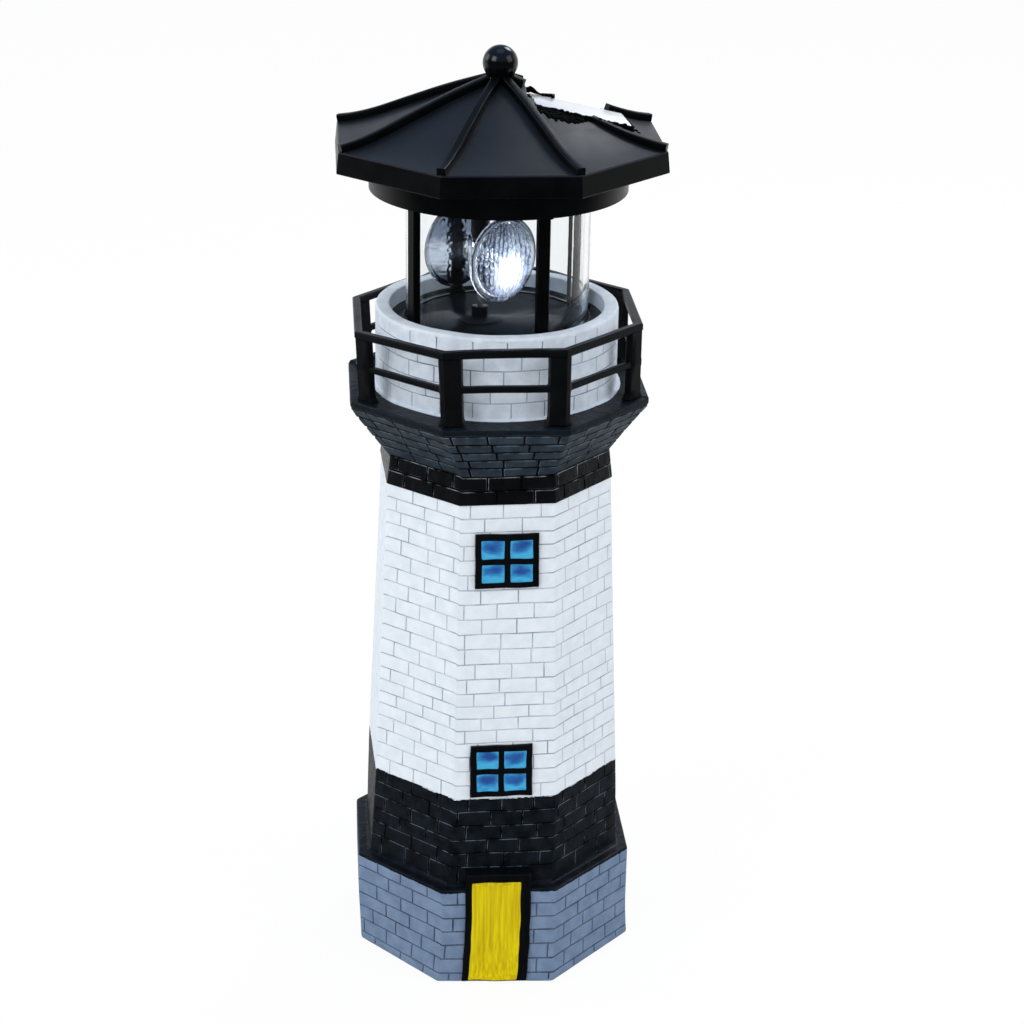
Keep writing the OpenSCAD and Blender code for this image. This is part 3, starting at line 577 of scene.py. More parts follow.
def piece_of(
    name: str, points: Iterable[Point], faces: Iterable[Iterable[int]], edges: Iterable[Iterable[int]] = ()
) -> Piece:
    """Makes an object whose place is in its mesh.

    Args:
        name: The piece's name.
        points: Places in millimetres.
        faces: Corner numbers of each face.
        edges: Point numbers of each loose edge.

    Returns:
        The new object, linked to the scene.
    """
    mesh = bpy.data.meshes.new(name)
    mesh.from_pydata([tuple(c * MM for c in p) for p in points], list(edges), [tuple(f) for f in faces])
    return linked(name, mesh)


def carry(piece: Piece, marks: dict[str, Iterable[float]]) -> None:
    """Writes numbers to a piece's points, under the names that rules and finishes read."""
    for label, values in marks.items():
        piece.data.attributes.new(label, "FLOAT", "POINT").data.foreach_set("value", values)


def clean(piece: Piece, angle: float = SHARP_ANGLE) -> Piece:
    """Merges doubles, turns faces outwards and smooths all but the sharp edges.

    Args:
        piece: The object to clean.
        angle: Edges that bend more than this stay sharp.

    Returns:
        The same object.
    """
    work = bmesh.new()
    work.from_mesh(piece.data)
    bmesh.ops.remove_doubles(work, verts=work.verts, dist=1e-7)
    bmesh.ops.recalc_face_normals(work, faces=work.faces)
    for face in work.faces:
        face.smooth = True
    for edge in work.edges:
        if len(edge.link_faces) == 2:
            edge.smooth = edge.calc_face_angle(0.0) < angle
    work.to_mesh(piece.data)
    work.free()
    return piece


def flatten(piece: Piece) -> Piece:
    """Replaces a piece's mesh by what its modifiers make of it.

    Args:
        piece: The object, which loses its modifiers.

    Returns:
        The same object.
    """
    graph = bpy.context.evaluated_depsgraph_get()
    shown = piece.evaluated_get(graph)
    made = bpy.data.meshes.new_from_object(shown, preserve_all_data_layers=True, depsgraph=graph)
    old = piece.data
    piece.modifiers.clear()
    piece.data = made
    bpy.data.meshes.remove(old)
    return piece


def bevelled(piece: Piece, width_mm: float, segments: int = 2) -> Piece:
    """Rounds a piece's sharp edges, as a mould does.

    Args:
        piece: The object.
        width_mm: Width of the rounding.
        segments: Steps across it.

    Returns:
        The same object.
    """
    rounding = piece.modifiers.new("edge", "BEVEL")
    rounding.width = width_mm * MM
    rounding.segments = segments
    rounding.limit_method = "ANGLE"
    rounding.angle_limit = math.radians(40)
    rounding.use_clamp_overlap = True
    rounding.harden_normals = False
    return clean(flatten(piece))


def skinned(name: str, rows: list[list[Point]], loop: bool = False) -> Piece:
    """Makes a closed skin through rows of points that each go once round.

    Args:
        name: The piece's name.
        rows: Rows of the same length, or of one point where the skin closes at a pole.
        loop: True if the last row joins the first.

    Returns:
        The new object.
    """
    points: list[Point] = []
    starts: list[int] = []
    for row in rows:
        starts.append(len(points))
        points.extend(row)
    faces = []
    for i in range(len(rows) if loop else len(rows) - 1):
        j = (i + 1) % len(rows)
        a, b, n = starts[i], starts[j], max(len(rows[i]), len(rows[j]))
        for k in range(n):
            m = (k + 1) % n
            if len(rows[i]) == 1:
                faces.append((a, b + m, b + k))
            elif len(rows[j]) == 1:
                faces.append((a + k, a + m, b))
            else:
                faces.append((a + k, a + m, b + m, b + k))
    return piece_of(name, points, faces)


def circle(radius: float, height: float, steps: int) -> list[Point]:
    """A level row of points round the Z axis."""
    turns = [2 * math.pi * k / steps for k in range(steps)]
    return [(radius * math.cos(a), radius * math.sin(a), height) for a in turns]


def lathe(name: str, outline: list[Pair], steps: int, loop: bool = False) -> Piece:
    """Turns an outline round the Z axis.

    Args:
        name: The piece's name.
        outline: Radius and height of each point, in order; a radius of 0 is a pole.
        steps: Sides of the turned shape.
        loop: True if the outline is closed, as on a ring.

    Returns:
        The new object, cleaned.
    """
    rows = [circle(radius, height, steps) if radius else [(0.0, 0.0, height)] for radius, height in outline]
    return clean(skinned(name, rows, loop))


def corner(radius: float, index: int) -> Pair:
    """The plan place of an octagon's corner, numbered from the one right of the back."""
    angle = math.radians(HALF_TURN + SIDE_TURN * index)
    return radius * math.cos(angle), radius * math.sin(angle)


def octagon(radius: float, height: float) -> list[Point]:
    """A level row of an octagon's corners."""
    return [(*corner(radius, k), height) for k in range(SIDES)]


def bent(points: list[Point], amount: float, size: float, seed: float) -> list[Point]:
    """Moves points by smooth noise, as a hand-made edge wanders.

    Args:
        points: Places in millimetres.
        amount: The furthest a point moves.
        size: Distance over which the noise changes.
        seed: Picks the noise.

    Returns:
        The moved points.
    """
    moved = []
    for p in points:
        shift = noise.noise_vector(Vector((p[0] / size + seed, p[1] / size, p[2] / size - seed)))
        moved.append((p[0] + amount * shift.x, p[1], p[2] + amount * shift.z))
    return moved


# ---------------------------------------------------------------- geometry node rules


class Rule:
    """A geometry node tree with named inputs, built in the script."""

    def __init__(self, name: str, sizes: Inputs) -> None:
        """Starts the tree.

        Args:
            name: What the rule makes.
            sizes: Named inputs with their default values: numbers, whole numbers, objects or materials.
        """
        self.tree = bpy.data.node_groups.new(name, "GeometryNodeTree")
        face = self.tree.interface
        face.new_socket("Geometry", in_out="INPUT", socket_type="NodeSocketGeometry")
        kinds = {float: "Float", int: "Int", Piece: "Object", Material: "Material"}
        self.names: dict[str, str] = {}
        for label, value in sizes.items():
            socket = face.new_socket(label, in_out="INPUT", socket_type="NodeSocket" + kinds[type(value)])
            socket.default_value = value
            self.names[label] = socket.identifier
        face.new_socket("Geometry", in_out="OUTPUT", socket_type="NodeSocketGeometry")
        self.inputs = add(self.tree, "NodeGroupInput").outputs

    def raised(self, geometry: Socket, amount: Socket) -> Socket:
        """Moves a shape's points along their normals."""
        normal = add(self.tree, "GeometryNodeInputNormal").outputs[0]
        offset = add(self.tree, "ShaderNodeVectorMath", {0: normal, "Scale": amount}, operation="SCALE").outputs[0]
        return add(self.tree, "GeometryNodeSetPosition", {"Geometry": geometry, "Offset": offset}).outputs[0]

    def end(self, shape: Socket, material: Socket, rest: tuple[Socket, Socket] | None = None) -> None:
        """Ends the tree in Realize Instances and Set Material.

        Args:
            shape: The finished shape.
            material: Its finish.
            rest: Which faces take another finish, and that finish.
        """
        real = add(self.tree, "GeometryNodeRealizeInstances", {0: shape}).outputs[0]
        dressed = add(self.tree, "GeometryNodeSetMaterial", {"Geometry": real, "Material": material}).outputs[0]
        if rest:
            inputs = {"Geometry": dressed, "Selection": rest[0], "Material": rest[1]}
            dressed = add(self.tree, "GeometryNodeSetMaterial", inputs).outputs[0]
        add(self.tree, "NodeGroupOutput", {0: dressed})

    def run(self, piece: Piece, values: Inputs) -> Piece:
        """Applies the rule to a piece and leaves a plain mesh.

        Args:
            piece: The object that the rule starts from.
            values: Values for named inputs.

        Returns:
            The same object.
        """
        step = piece.modifiers.new("rule", "NODES")
        step.node_group = self.tree
        for label, value in values.items():
            step[self.names[label]] = value
        return flatten(piece)


def relief_rule(paint: Material, bare: Material) -> Rule:
    """The casting's brick relief: joints sink in along the normal, and outer faces swell a little.

    Args:
        paint: Material of the outside.
        bare: Material of the unpainted inside.

    Returns:
        The rule.
    """
    sizes = {"Joint depth": 0.0004, "Swell": 0.00012, "Swell size": 0.006, "Seed": 4.0}
    rule = Rule("brick_relief", {**sizes, "Paint": paint, "Bare resin": bare})
    tree, given = rule.tree, rule.inputs
    outside = carried(tree, "outside")
    fine = {"W": given["Seed"], "Scale": maths(tree, "DIVIDE", 1.0, given["Swell size"]), "Detail": 3.0}
    pebble = add(tree, "ShaderNodeTexNoise", fine, noise_dimensions="4D").outputs[0]
    swell = maths(tree, "MULTIPLY", maths(tree, "MULTIPLY_ADD", pebble, 2.0, -1.0), given["Swell"])
    swell = maths(tree, "MULTIPLY", swell, outside)
    sink = maths(tree, "MULTIPLY", carried(tree, "joint"), given["Joint depth"])
    moved = rule.raised(given["Geometry"], maths(tree, "SUBTRACT", swell, sink))
    rule.end(moved, given["Paint"], (maths(tree, "LESS_THAN", outside, 0.25), given["Bare resin"]))
    return rule


def stamp_rule(name: str, first: Piece, second: Piece, material: Material) -> Rule:
    """Stands one of two shapes at each point, turned and sized by the point's own numbers.

    Args:
        name: What the rule makes.
        first: Shape at points whose kind is 0.
        second: Shape at points whose kind is 1.
        material: Finish of them all.

    Returns:
        The rule.
    """
    sizes = {"Least size": 1.0, "Most size": 1.0, "Seed": 1}
    rule = Rule(name, {"First shape": first, "Second shape": second, **sizes, "Material": material})
    tree, given = rule.tree, rule.inputs
    kind = carried(tree, "kind")
    turned = add(tree, "ShaderNodeCombineXYZ", {2: carried(tree, "turn")}).outputs[0]
    span = {2: given["Least size"], 3: given["Most size"], "Seed": given["Seed"]}
    size = add(tree, "FunctionNodeRandomValue", span, data_type="FLOAT").outputs[1]
    shapes = []
    for label, low, high in (("First shape", -0.5, 0.5), ("Second shape", 0.5, 1.5)):
        chosen = maths(tree, "MULTIPLY", maths(tree, "GREATER_THAN", kind, low), maths(tree, "LESS_THAN", kind, high))
        shape = add(tree, "GeometryNodeObjectInfo", {"Object": given[label]}, transform_space="ORIGINAL")
        inputs = {"Points": given["Geometry"], "Selection": chosen, "Instance": shape.outputs["Geometry"]}
        inputs |= {"Rotation": turned, "Scale": size}
        shapes.append(add(tree, "GeometryNodeInstanceOnPoints", inputs).outputs[0])
    joined = add(tree, "GeometryNodeJoinGeometry")
    for shape in reversed(shapes):
        tree.links.new(shape, joined.inputs[0])
    rule.end(joined.outputs[0], given["Material"])
    return rule


def rib_rule(material: Material) -> Rule:
    """Runs a rib with a rounded top along each line of the input.

    Args:
        material: The rib's finish.

    Returns:
        The rule.
    """
    sizes = {"Width": 0.0032, "Height": 0.0028, "Rounding": 0.0007, "Rise": 0.0008}
    rule = Rule("hip_ribs", {**sizes, "Material": material})
    tree, given = rule.tree, rule.inputs
    line = add(tree, "GeometryNodeMeshToCurve", {0: given["Geometry"]}).outputs[0]
    line = add(tree, "GeometryNodeSetCurveNormal", {"Curve": line}, mode="Z_UP").outputs[0]
    section = {"Width": given["Width"], "Height": given["Height"]}
    box = add(tree, "GeometryNodeCurvePrimitiveQuadrilateral", section).outputs[0]
    soft = add(tree, "GeometryNodeFilletCurve", {0: box, 1: 3, 2: given["Rounding"]}, mode="POLY").outputs[0]
    up = add(tree, "ShaderNodeCombineXYZ", {1: maths(tree, "MULTIPLY", given["Rise"], -1.0)}).outputs[0]
    raised = add(tree, "GeometryNodeSetPosition", {"Geometry": soft, "Offset": up}).outputs[0]
    sweep = {"Curve": line, "Profile Curve": raised, "Fill Caps": True}
    rule.end(add(tree, "GeometryNodeCurveToMesh", sweep).outputs[0], given["Material"])
    return rule


def facet_rule(material: Material) -> Rule:
    """Presses small pillow facets and flutes into the outer face of a lens.

    Args:
        material: The lens's finish.

    Returns:
        The rule.
    """
    sizes = {"Facet size": 0.0019, "Facet height": 0.0005, "Flute depth": 0.0003, "Seed": 2.0}
    rule = Rule("lens_facets", {**sizes, "Material": material})
    tree, given = rule.tree, rule.inputs
    pattern = {"Scale": maths(tree, "DIVIDE", 1.0, given["Facet size"]), "W": given["Seed"]}
    cells = add(tree, "ShaderNodeTexVoronoi", pattern, voronoi_dimensions="4D").outputs["Distance"]
    groove = maths(tree, "MULTIPLY", maths(tree, "SUBTRACT", 1.0, carried(tree, "flute")), given["Flute depth"])
    height = maths(tree, "MULTIPLY_ADD", cells, given["Facet height"], groove)
    height = maths(tree, "MULTIPLY", height, carried(tree, "pressed"))
    rule.end(rule.raised(given["Geometry"], maths(tree, "MULTIPLY", height, -1.0)), given["Material"])
    return rule


def stamped(
    name: str,
    spots: list[tuple[Point, float, int]],
    shapes: list[Piece],
    material: Material,
    sizes: Pair = (1.0, 1.0),
    seed: int = 1,
) -> Piece:
    """Stamps shapes at spots, as one plain mesh, and removes the loose shapes.

    Args:
        name: The piece's name.
        spots: Place in millimetres, turn in degrees, and kind of each copy.
        shapes: One shape, or two for the kinds 0 and 1.
        material: Finish of them all.
        sizes: Least and most size.
        seed: Picks the sizes.

    Returns:
        The new object.
    """
    piece = piece_of(name, [s[0] for s in spots], [])
    carry(piece, {"turn": [math.radians(s[1]) for s in spots], "kind": [float(s[2]) for s in spots]})
    rule = stamp_rule(name, shapes[0], shapes[-1], material)
    rule.run(piece, {"Least size": sizes[0], "Most size": sizes[1], "Seed": seed})
    for shape in set(shapes):
        bpy.data.objects.remove(shape)
    return clean(piece)


# ---------------------------------------------------------------- placing


def place(piece: Piece, body: str, slot: str, nodes: Iterable[str] = (), material: Material | None = None) -> None:
    """Puts a finished piece on its body and reports it.

    Args:
        piece: The finished object.
        body: The body that it rides on.
        slot: The record's slot of its finish; not used.
        nodes: The CAD nodes that it stands for.
        material: A finish for the whole piece, if it has none yet.
    """
    if material is not None:
        piece.data.materials.clear()
        piece.data.materials.append(material)
    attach(piece, body)
    for node in nodes:
        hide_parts(node)
    LOG.info("%s rides on %s, %d faces", piece.name, body, len(piece.data.polygons))


def refined(node: str, name: str, width_mm: float) -> Piece:
    """Copies a CAD node, merges its loose triangles and rounds its sharp edges.

    Args:
        node: The CAD node.
        name: The new piece's name.
        width_mm: Width of the rounding, or 0 for none.

    Returns:
        The new object.
    """
    mesh = frame["nodes"][node].data.copy()
    mesh.name = name
    mesh.materials.clear()
    work = bmesh.new()
    work.from_mesh(mesh)
    bmesh.ops.remove_doubles(work, verts=work.verts, dist=2e-6)
    bmesh.ops.dissolve_limit(work, angle_limit=math.radians(0.6), verts=work.verts, edges=work.edges)
    work.to_mesh(mesh)
    work.free()
    piece = linked(name, mesh)
    return bevelled(piece, width_mm) if width_mm else clean(piece)


# ---------------------------------------------------------------- the cast tower


class Plan(Enum):
    """Plan shape of a row of the casting."""

    OCTAGON = "octagon"
    ROUND = "round"


@dataclass
class Row:
    """One level row of points round the casting.

    Attributes:
        plan: Octagon or round.
        radius: Corner radius or radius.
        height: Level in millimetres.
        marks: For each point its place round, in facets from the first corner, how far it lies in a
            joint, and how far on a brick's edge.
        outside: 1 on the painted outside.
    """

    plan: Plan
    radius: float
    height: float
    marks: list[Point]
    outside: float = 1.0


def on_side(radius: float, index: int, share: float) -> Pair:
    """The plan place at a share of the way along one side of an octagon."""
    a, b = corner(radius, index), corner(radius, index + 1)
    return between(a[0], b[0], share), between(a[1], b[1], share)


@dataclass
class TowerCasting:
    """The hollow polyresin casting with its brick relief, door and windows."""

    plinth_r: float = 58.7
    plinth_h: float = 40.0
    tower_foot_r: float = 53.7
    tower_top_r: float = 46.2
    band_foot: float = 198.0
    band_top: float = 209.0
    band_top_r: float = 45.3
    deck_low: float = 229.4
    deck_top: float = 232.0
    deck_r: float = 60.5
    ring_r: float = 45.9
    ring_top: float = 263.0
    bore_r: float = 40.5
    throat_r: float = 36.2
    tray_seat: float = 254.0
    base_t: float = 3.0
    brick_l: float = 13.3
    joint_half: float = 0.13
    joint_slope: float = 0.2
    brick_edge: float = 0.28
    joint_depth: float = 0.36
    corner_soft: float = 0.12
    slots: int = 4
    seed: int = 11
    white_foot: float = 77.4
    paint_foot: float = 197.7
    shaft_beds: tuple[float, ...] = (
        48.4, 54.3, 60.1, 66.1, 72.3, 77.4, 83.4, 89.5, 95.5, 101.2, 106.5, 111.6, 116.6, 121.8,
        127.8, 133.9, 140.1, 146.2, 152.3, 158.4, 164.2, 170.2, 176.0, 181.8, 187.1, 192.4,
    )
    twists: tuple[Pair, ...] = ((41.0, 0.6), (75.0, 2.5), (209.0, 2.5), (229.0, 0.0))
    facet_steps: tuple[float, ...] = (0.35, -0.2, 0.4, -0.45, 0.3, -0.35, 0.0, 0.45)
    toes: tuple[Pair, ...] = ((0, 0), (0, 0), (0, 0), (1.4, 0), (1.7, 0.5), (-1.6, -1.3), (-1.2, -3.3), (0, -0.6))
    toe_h: float = 24.0
    rows: list[Row] = field(default_factory=list)

    @property
    def joint_cut(self) -> Point:
        """How far a joint's floor, its slopes and the bricks' edges reach from its middle."""
        slope = self.joint_half + self.joint_slope
        return self.joint_half, slope, slope + self.brick_edge

    def foot(self, index: int, share: float, height: float) -> Pair:
        """How far the plinth's uneven foot stands out at a place of its outline, in x and y."""
        low = max(0.0, 1 - height / self.toe_h) ** 1.6
        return tuple((p + (q - p) * share) * low for p, q in zip(self.toes[index], self.toes[(index + 1) % SIDES]))

    def side(self, radius: float, plan: Plan) -> float:
        """Length of an octagon's side, or of the same eighth of a circle."""
        if plan is Plan.OCTAGON:
            return 2 * radius * math.sin(math.radians(HALF_TURN))
        return 2 * math.pi * radius / SIDES

    def columns(self, side: float, joints: list[float]) -> list[Point]:
        """Lays out the points of one side for the joints that it has.

        Args:
            side: Its length in millimetres.
            joints: Places of the upright joints, from 0 to 1.

        Returns:
            Place, joint share and edge mark of each point; every side has as many points.
        """
        spots = [(u, True) for u in joints]
        while len(spots) < self.slots:
            ends = [0.0, *(u for u, _ in spots), 1.0]
            gaps = [b - a for a, b in zip(ends, ends[1:])]
            widest = gaps.index(max(gaps))
            spots.insert(widest, ((ends[widest] + ends[widest + 1]) / 2, False))
        half, slope, reach = self.joint_cut
        corner_step = 0.6 / side
        marks = [(0.0, 0.0, 0.0), (corner_step, 0.0, 0.0)]
        # one side of each upright joint takes a stronger edge mark than the other: a painted highlight on the brick
        # edges that face the light
        profile = ((-reach, 0, 0), (-slope, 0, 0.55), (-half, 1, 0), (half, 1, 0), (slope, 0, 1), (reach, 0, 0))
        for middle, real in spots:
            marks.append(((marks[-1][0] + (middle - reach / side)) / 2, 0.0, 0.0))
            marks += [(middle + offset / side, float(sunk and real), rim * real) for offset, sunk, rim in profile]
        return marks + [((marks[-1][0] + 1 - corner_step) / 2, 0.0, 0.0), (1 - corner_step, 0.0, 0.0)]

    def layout(self, radius: float, plan: Plan, phase: float | None, dice: random.Random) -> list[Point]:
        """Lays out one whole course.

        Args:
            radius: Its radius.
            plan: Its plan shape.
            phase: Place of the first joint, in bricks, or None for a row without joints.
            dice: Seeded random numbers.

        Returns:
            Place, joint share and edge mark of each point all round.
        """
        side = self.side(radius, plan)
        count = round(SIDES * side / self.brick_l)
        clear = 1.75 / side
        joints: list[list[float]] = [[] for _ in range(SIDES)]
        if phase is not None:
            for k in range(count):
                at = (k + phase + dice.uniform(-0.07, 0.07)) * (SIDES / count) % SIDES
                if clear < at % 1 < 1 - clear:
                    joints[int(at)].append(at % 1)
        marks = []
        for number in range(SIDES):
            row = self.columns(side, sorted(joints[number])[: self.slots])
            marks += [(number + u, joint, edge) for u, joint, edge in row]
        return marks

    def plain(self, plan: Plan, *levels: Pair, outside: float = 1.0) -> None:
        """Adds rows without joints, each at a pair of radius and height."""
        for radius, height in levels:
            marks = self.layout(radius, plan, None, random.Random(0))
            self.rows.append(Row(plan, radius, height, marks, outside))

    def courses(
        self,
        levels: list[float],
        radius_at: Callable[[float], float],
        plan: Plan,
        dice: random.Random,
        foot_joint: bool = False,
        head_joint: bool = False,
        phase: float = 0.0,
    ) -> None:
        """Adds courses of bricks.

        Args:
            levels: Heights of the bed joints, with the foot and the head.
            radius_at: Radius at a height.
            plan: Plan shape.
            dice: Seeded random numbers.
            foot_joint: True if a joint lies along the foot.
            head_joint: True if a joint lies along the head.
            phase: Place of the first course's first joint.
        """
        half, slope, reach = self.joint_cut
        last = len(levels) - 2
        for number, (low, high) in enumerate(zip(levels, levels[1:])):
            shift = phase + 0.5 * (number % 2) + dice.uniform(-0.16, 0.16)
            marks = self.layout(radius_at((low + high) / 2), plan, shift, dice)
            rows = [(low + 0.05, 0, 0)]
            # a brick's upper edge takes the full edge mark and its lower edge half: a painted highlight where light
            # from above falls
            if foot_joint or number > 0:
                rows = [(low + half, 1, 0), (low + slope, 0, 0.5), (low + reach, 0, 0)]
            if head_joint or number < last:
                rows += [(high - reach, 0, 0), (high - slope, 0, 1), (high - half, 1, 0)]
            else:
                rows.append((high - 0.05, 0, 0))
            for height, sunk, rim in rows:
                deep = [(u, max(joint, float(sunk)), max(edge, float(rim))) for u, joint, edge in marks]
                deep = [(u, joint, edge * (1 - joint)) for u, joint, edge in deep]
                self.rows.append(Row(plan, radius_at(height), height, deep))

    def points(self, row: Row) -> list[Point]:
        """Gives a row's places, with the hand-made mould's twist, steps and waves.

        Args:
            row: The row.

        Returns:
            Its places in millimetres.
        """
        made = []
        outer = row.outside and row.plan is Plan.OCTAGON
        turn = 0.0
        if outer and self.plinth_h + 0.5 < row.height < self.deck_low:
            turn = math.radians(self.twist(row.height))
        # the waves die away towards the ledges, which stay level
        calm = min(row.height - 3, abs(row.height - self.plinth_h) - 1.5, abs(row.height - self.paint_foot) - 3)
        calm = min(calm / 4, abs(self.deck_low - row.height) - 1.5, 1.0)
        for u, _, _ in row.marks:
            lift = 0.0
            if row.plan is Plan.ROUND:
                x, y = corner(row.radius, u)
            else:
                index, share = int(u) % SIDES, u % 1
                x, y = on_side(row.radius, index, share)
                lift = self.facet_steps[index]
                if share < 1e-6:
                    x, y = (c * (1 - self.corner_soft / row.radius) for c in (x, y))
                    lift = (self.facet_steps[index] + self.facet_steps[index - 1]) / 2
                x, y = x * math.cos(turn) - y * math.sin(turn), x * math.sin(turn) + y * math.cos(turn)
                if outer and row.height < self.plinth_h:
                    dx, dy = self.foot(index, share, row.height)
                    x, y = x + dx, y + dy
            if row.outside and calm > 0:
                lift = calm * (lift * outer + 0.3 * noise.noise(Vector((x / 15, y / 15, row.height / 9))))
            else:
                lift = 0.0
            made.append((x, y, row.height + lift))
        return made

    def flare(self, height: float) -> float:
        """How far the plinth spreads at a height, at its corners."""
        return 0.9 * max(0.0, 1 - height / 16) ** 2

    def shaft_r(self, height: float) -> float:
        """Corner radius of the tapered shaft."""
        share = (height - self.plinth_h) / (self.band_foot - self.plinth_h)
        return between(self.tower_foot_r, self.tower_top_r, share)

    def band_r(self, height: float) -> float:
        """Corner radius of the dark band, which stands a little proud."""
        share = (height - self.band_foot) / (self.band_top - self.band_foot)
        return between(self.tower_top_r, self.band_top_r, share) + 0.5 * (1 - share)

    def corbel_r(self, height: float) -> float:
        """Corner radius of the corbel."""
        share = (height - self.band_top) / (self.deck_low - self.band_top)
        return between(self.band_top_r, self.deck_r, share)

    def spread_r(self, height: float) -> float:
        """Corner radius of the plinth."""
        return self.plinth_r + self.flare(height)

    def twist(self, height: float) -> float:
        """Gives the degrees by which the hand-finished mould has turned at a height.

        Args:
            height: The level.

        Returns:
            The turn, on straight lines between the marks.
        """
        for (low, a), (high, b) in zip(self.twists, self.twists[1:]):
            if height <= high:
                return a + (b - a) * max(0.0, (height - low) / (high - low))
        return self.twists[-1][1]

    def outside_rows(self) -> None:
        """Adds the rows from the foot up the outside; each zone's joints have their own width."""
        dice = random.Random(self.seed)
        eight, ring = Plan.OCTAGON, Plan.ROUND
        self.plain(eight, (self.spread_r(0.0) - 1.1, 0.0), (self.spread_r(0.6) - 0.2, 0.6))
        lines = [1.2, 3.9] + [3.9 + 6.05 * k for k in range(1, 6)] + [self.plinth_h - 0.8]
        # the width of the joints differs from zone to zone; rows without joints take the last one set
        self.joint_half = 0.2
        self.courses(lines, self.spread_r, eight, dice, phase=0.2)
        self.joint_half = 0.15
        self.plain(
            eight,
            (self.plinth_r - 0.2, self.plinth_h - 0.25),
            (self.plinth_r - 0.7, self.plinth_h),
            (self.tower_foot_r + 1.3, self.plinth_h + 0.05),
            (self.tower_foot_r + 0.35, self.plinth_h + 0.4),
        )
        beds = [self.plinth_h + 1.3, *self.shaft_beds, self.paint_foot]
        border = beds.index(self.white_foot)
        self.courses(beds[: border + 1], self.shaft_r, eight, dice)
        self.joint_half = 0.12
        self.courses(beds[border:], self.shaft_r, eight, dice, foot_joint=True, phase=0.5)
        self.joint_half = 0.2
        self.plain(eight, (self.band_r(self.band_foot), self.paint_foot + 0.06))
        middle = (self.paint_foot + self.band_top) / 2
        lines = [self.paint_foot + 0.5, middle, self.band_top - 0.2]
        self.courses(lines, self.band_r, eight, dice, head_joint=True, phase=0.3)
        rise = (self.deck_low - self.band_top) / 5
        lines = [self.band_top + 0.1 + rise * k for k in range(5)] + [self.deck_low - 0.1]
        self.joint_half = 0.3
        self.courses(lines, self.corbel_r, eight, dice, head_joint=True, phase=0.1)
        self.joint_half = 0.13
        edge = ((0.15, self.deck_low + 0.35), (0.0, self.deck_low + 0.9), (0.0, self.deck_top - 0.5))
        edge += ((0.4, self.deck_top), (4.0, self.deck_top))
        self.plain(eight, *((self.deck_r - inset, height) for inset, height in edge))
        self.plain(ring, (self.ring_r + 1.4, self.deck_top), (self.ring_r + 0.25, self.deck_top + 0.1))
        lines = [self.deck_top + 0.7] + [self.deck_top + 6.2 * k for k in range(1, 5)] + [self.ring_top - 1.5]
        self.courses(lines, lambda z: self.ring_r, ring, dice, phase=0.15)
        rim = ((0.05, 1.0), (0.3, 0.4), (0.75, 0.06), (1.6, 0.0), (4.5, 0.0), (5.2, 0.2))
        self.plain(ring, *((self.ring_r - inset, self.ring_top - drop) for inset, drop in rim))
        self.plain(ring, (self.bore_r, self.ring_top - 0.6), (self.bore_r, self.ring_top - 5.6))

    def inside_rows(self) -> None:
        """Adds the bare rows from the bore down the inside to the foot."""
        throat_foot, wall = self.deck_top - 6, 5 / FLAT
        hollow = self.plinth_r - 6 / FLAT
        self.plain(
            Plan.ROUND,
            (self.bore_r, self.ring_top - 5.9),
            (self.bore_r, self.tray_seat),
            (self.throat_r, self.tray_seat),
            (self.throat_r, throat_foot),
            outside=0.0,
        )
        self.plain(
            Plan.OCTAGON,
            (self.band_top_r - wall, throat_foot),
            (self.band_top_r - wall, self.band_top),
            (self.tower_top_r - wall, self.band_foot),
            (self.tower_foot_r - wall, self.plinth_h - 3),
            (hollow, self.plinth_h - 5),
            (hollow, self.base_t),
            (hollow + 2.2, self.base_t),
            (hollow + 2.2, 0.0),
            outside=0.0,
        )

    def shell(self) -> Piece:
        """Builds the closed shell, whose points carry what the relief and the paint read.

        Returns:
            The shell, before its relief.
        """
        self.outside_rows()
        self.inside_rows()
        piece = skinned("cast_tower", [self.points(row) for row in self.rows], loop=True)
        along, total, last = [], 0.0, self.rows[0]
        for row in self.rows:
            total += math.hypot(row.radius - last.radius, row.height - last.height)
            along += [total] * len(row.marks)
            last = row
        marks = [mark for row in self.rows for mark in row.marks]
        carry(piece, {
            "joint": [joint for _, joint, _ in marks],
            "edge": [edge for _, _, edge in marks],
            "outside": [row.outside for row in self.rows for _ in row.marks],
            "profile": along,
        })
        return clean(piece)

    def profile_at(self, height: float) -> float:
        """Measures the profile up to a height on the outside, going up.

        Args:
            height: The level.

        Returns:
            The length in millimetres.
        """
        total = 0.0
        for last, row in zip(self.rows, self.rows[1:]):
            if row.height >= height > last.height:
                return total + (height - last.height)
            total += math.hypot(row.radius - last.radius, row.height - last.height)
        return total

    def zones(self) -> tuple[PaintZone, ...]:
        """Gives the painted zones along the profile.

        Returns:
            Slate, black, white, band, corbel, deck and ring.
        """
        starts = (
            0.0,
            self.profile_at(self.plinth_h - 0.9) - 0.2,
            self.profile_at(self.white_foot),
            self.profile_at(self.paint_foot + 0.03),
            self.profile_at(self.band_top),
            self.profile_at(self.deck_low + 0.3),
            self.profile_at(self.deck_top + 0.05) - 0.3,
        )
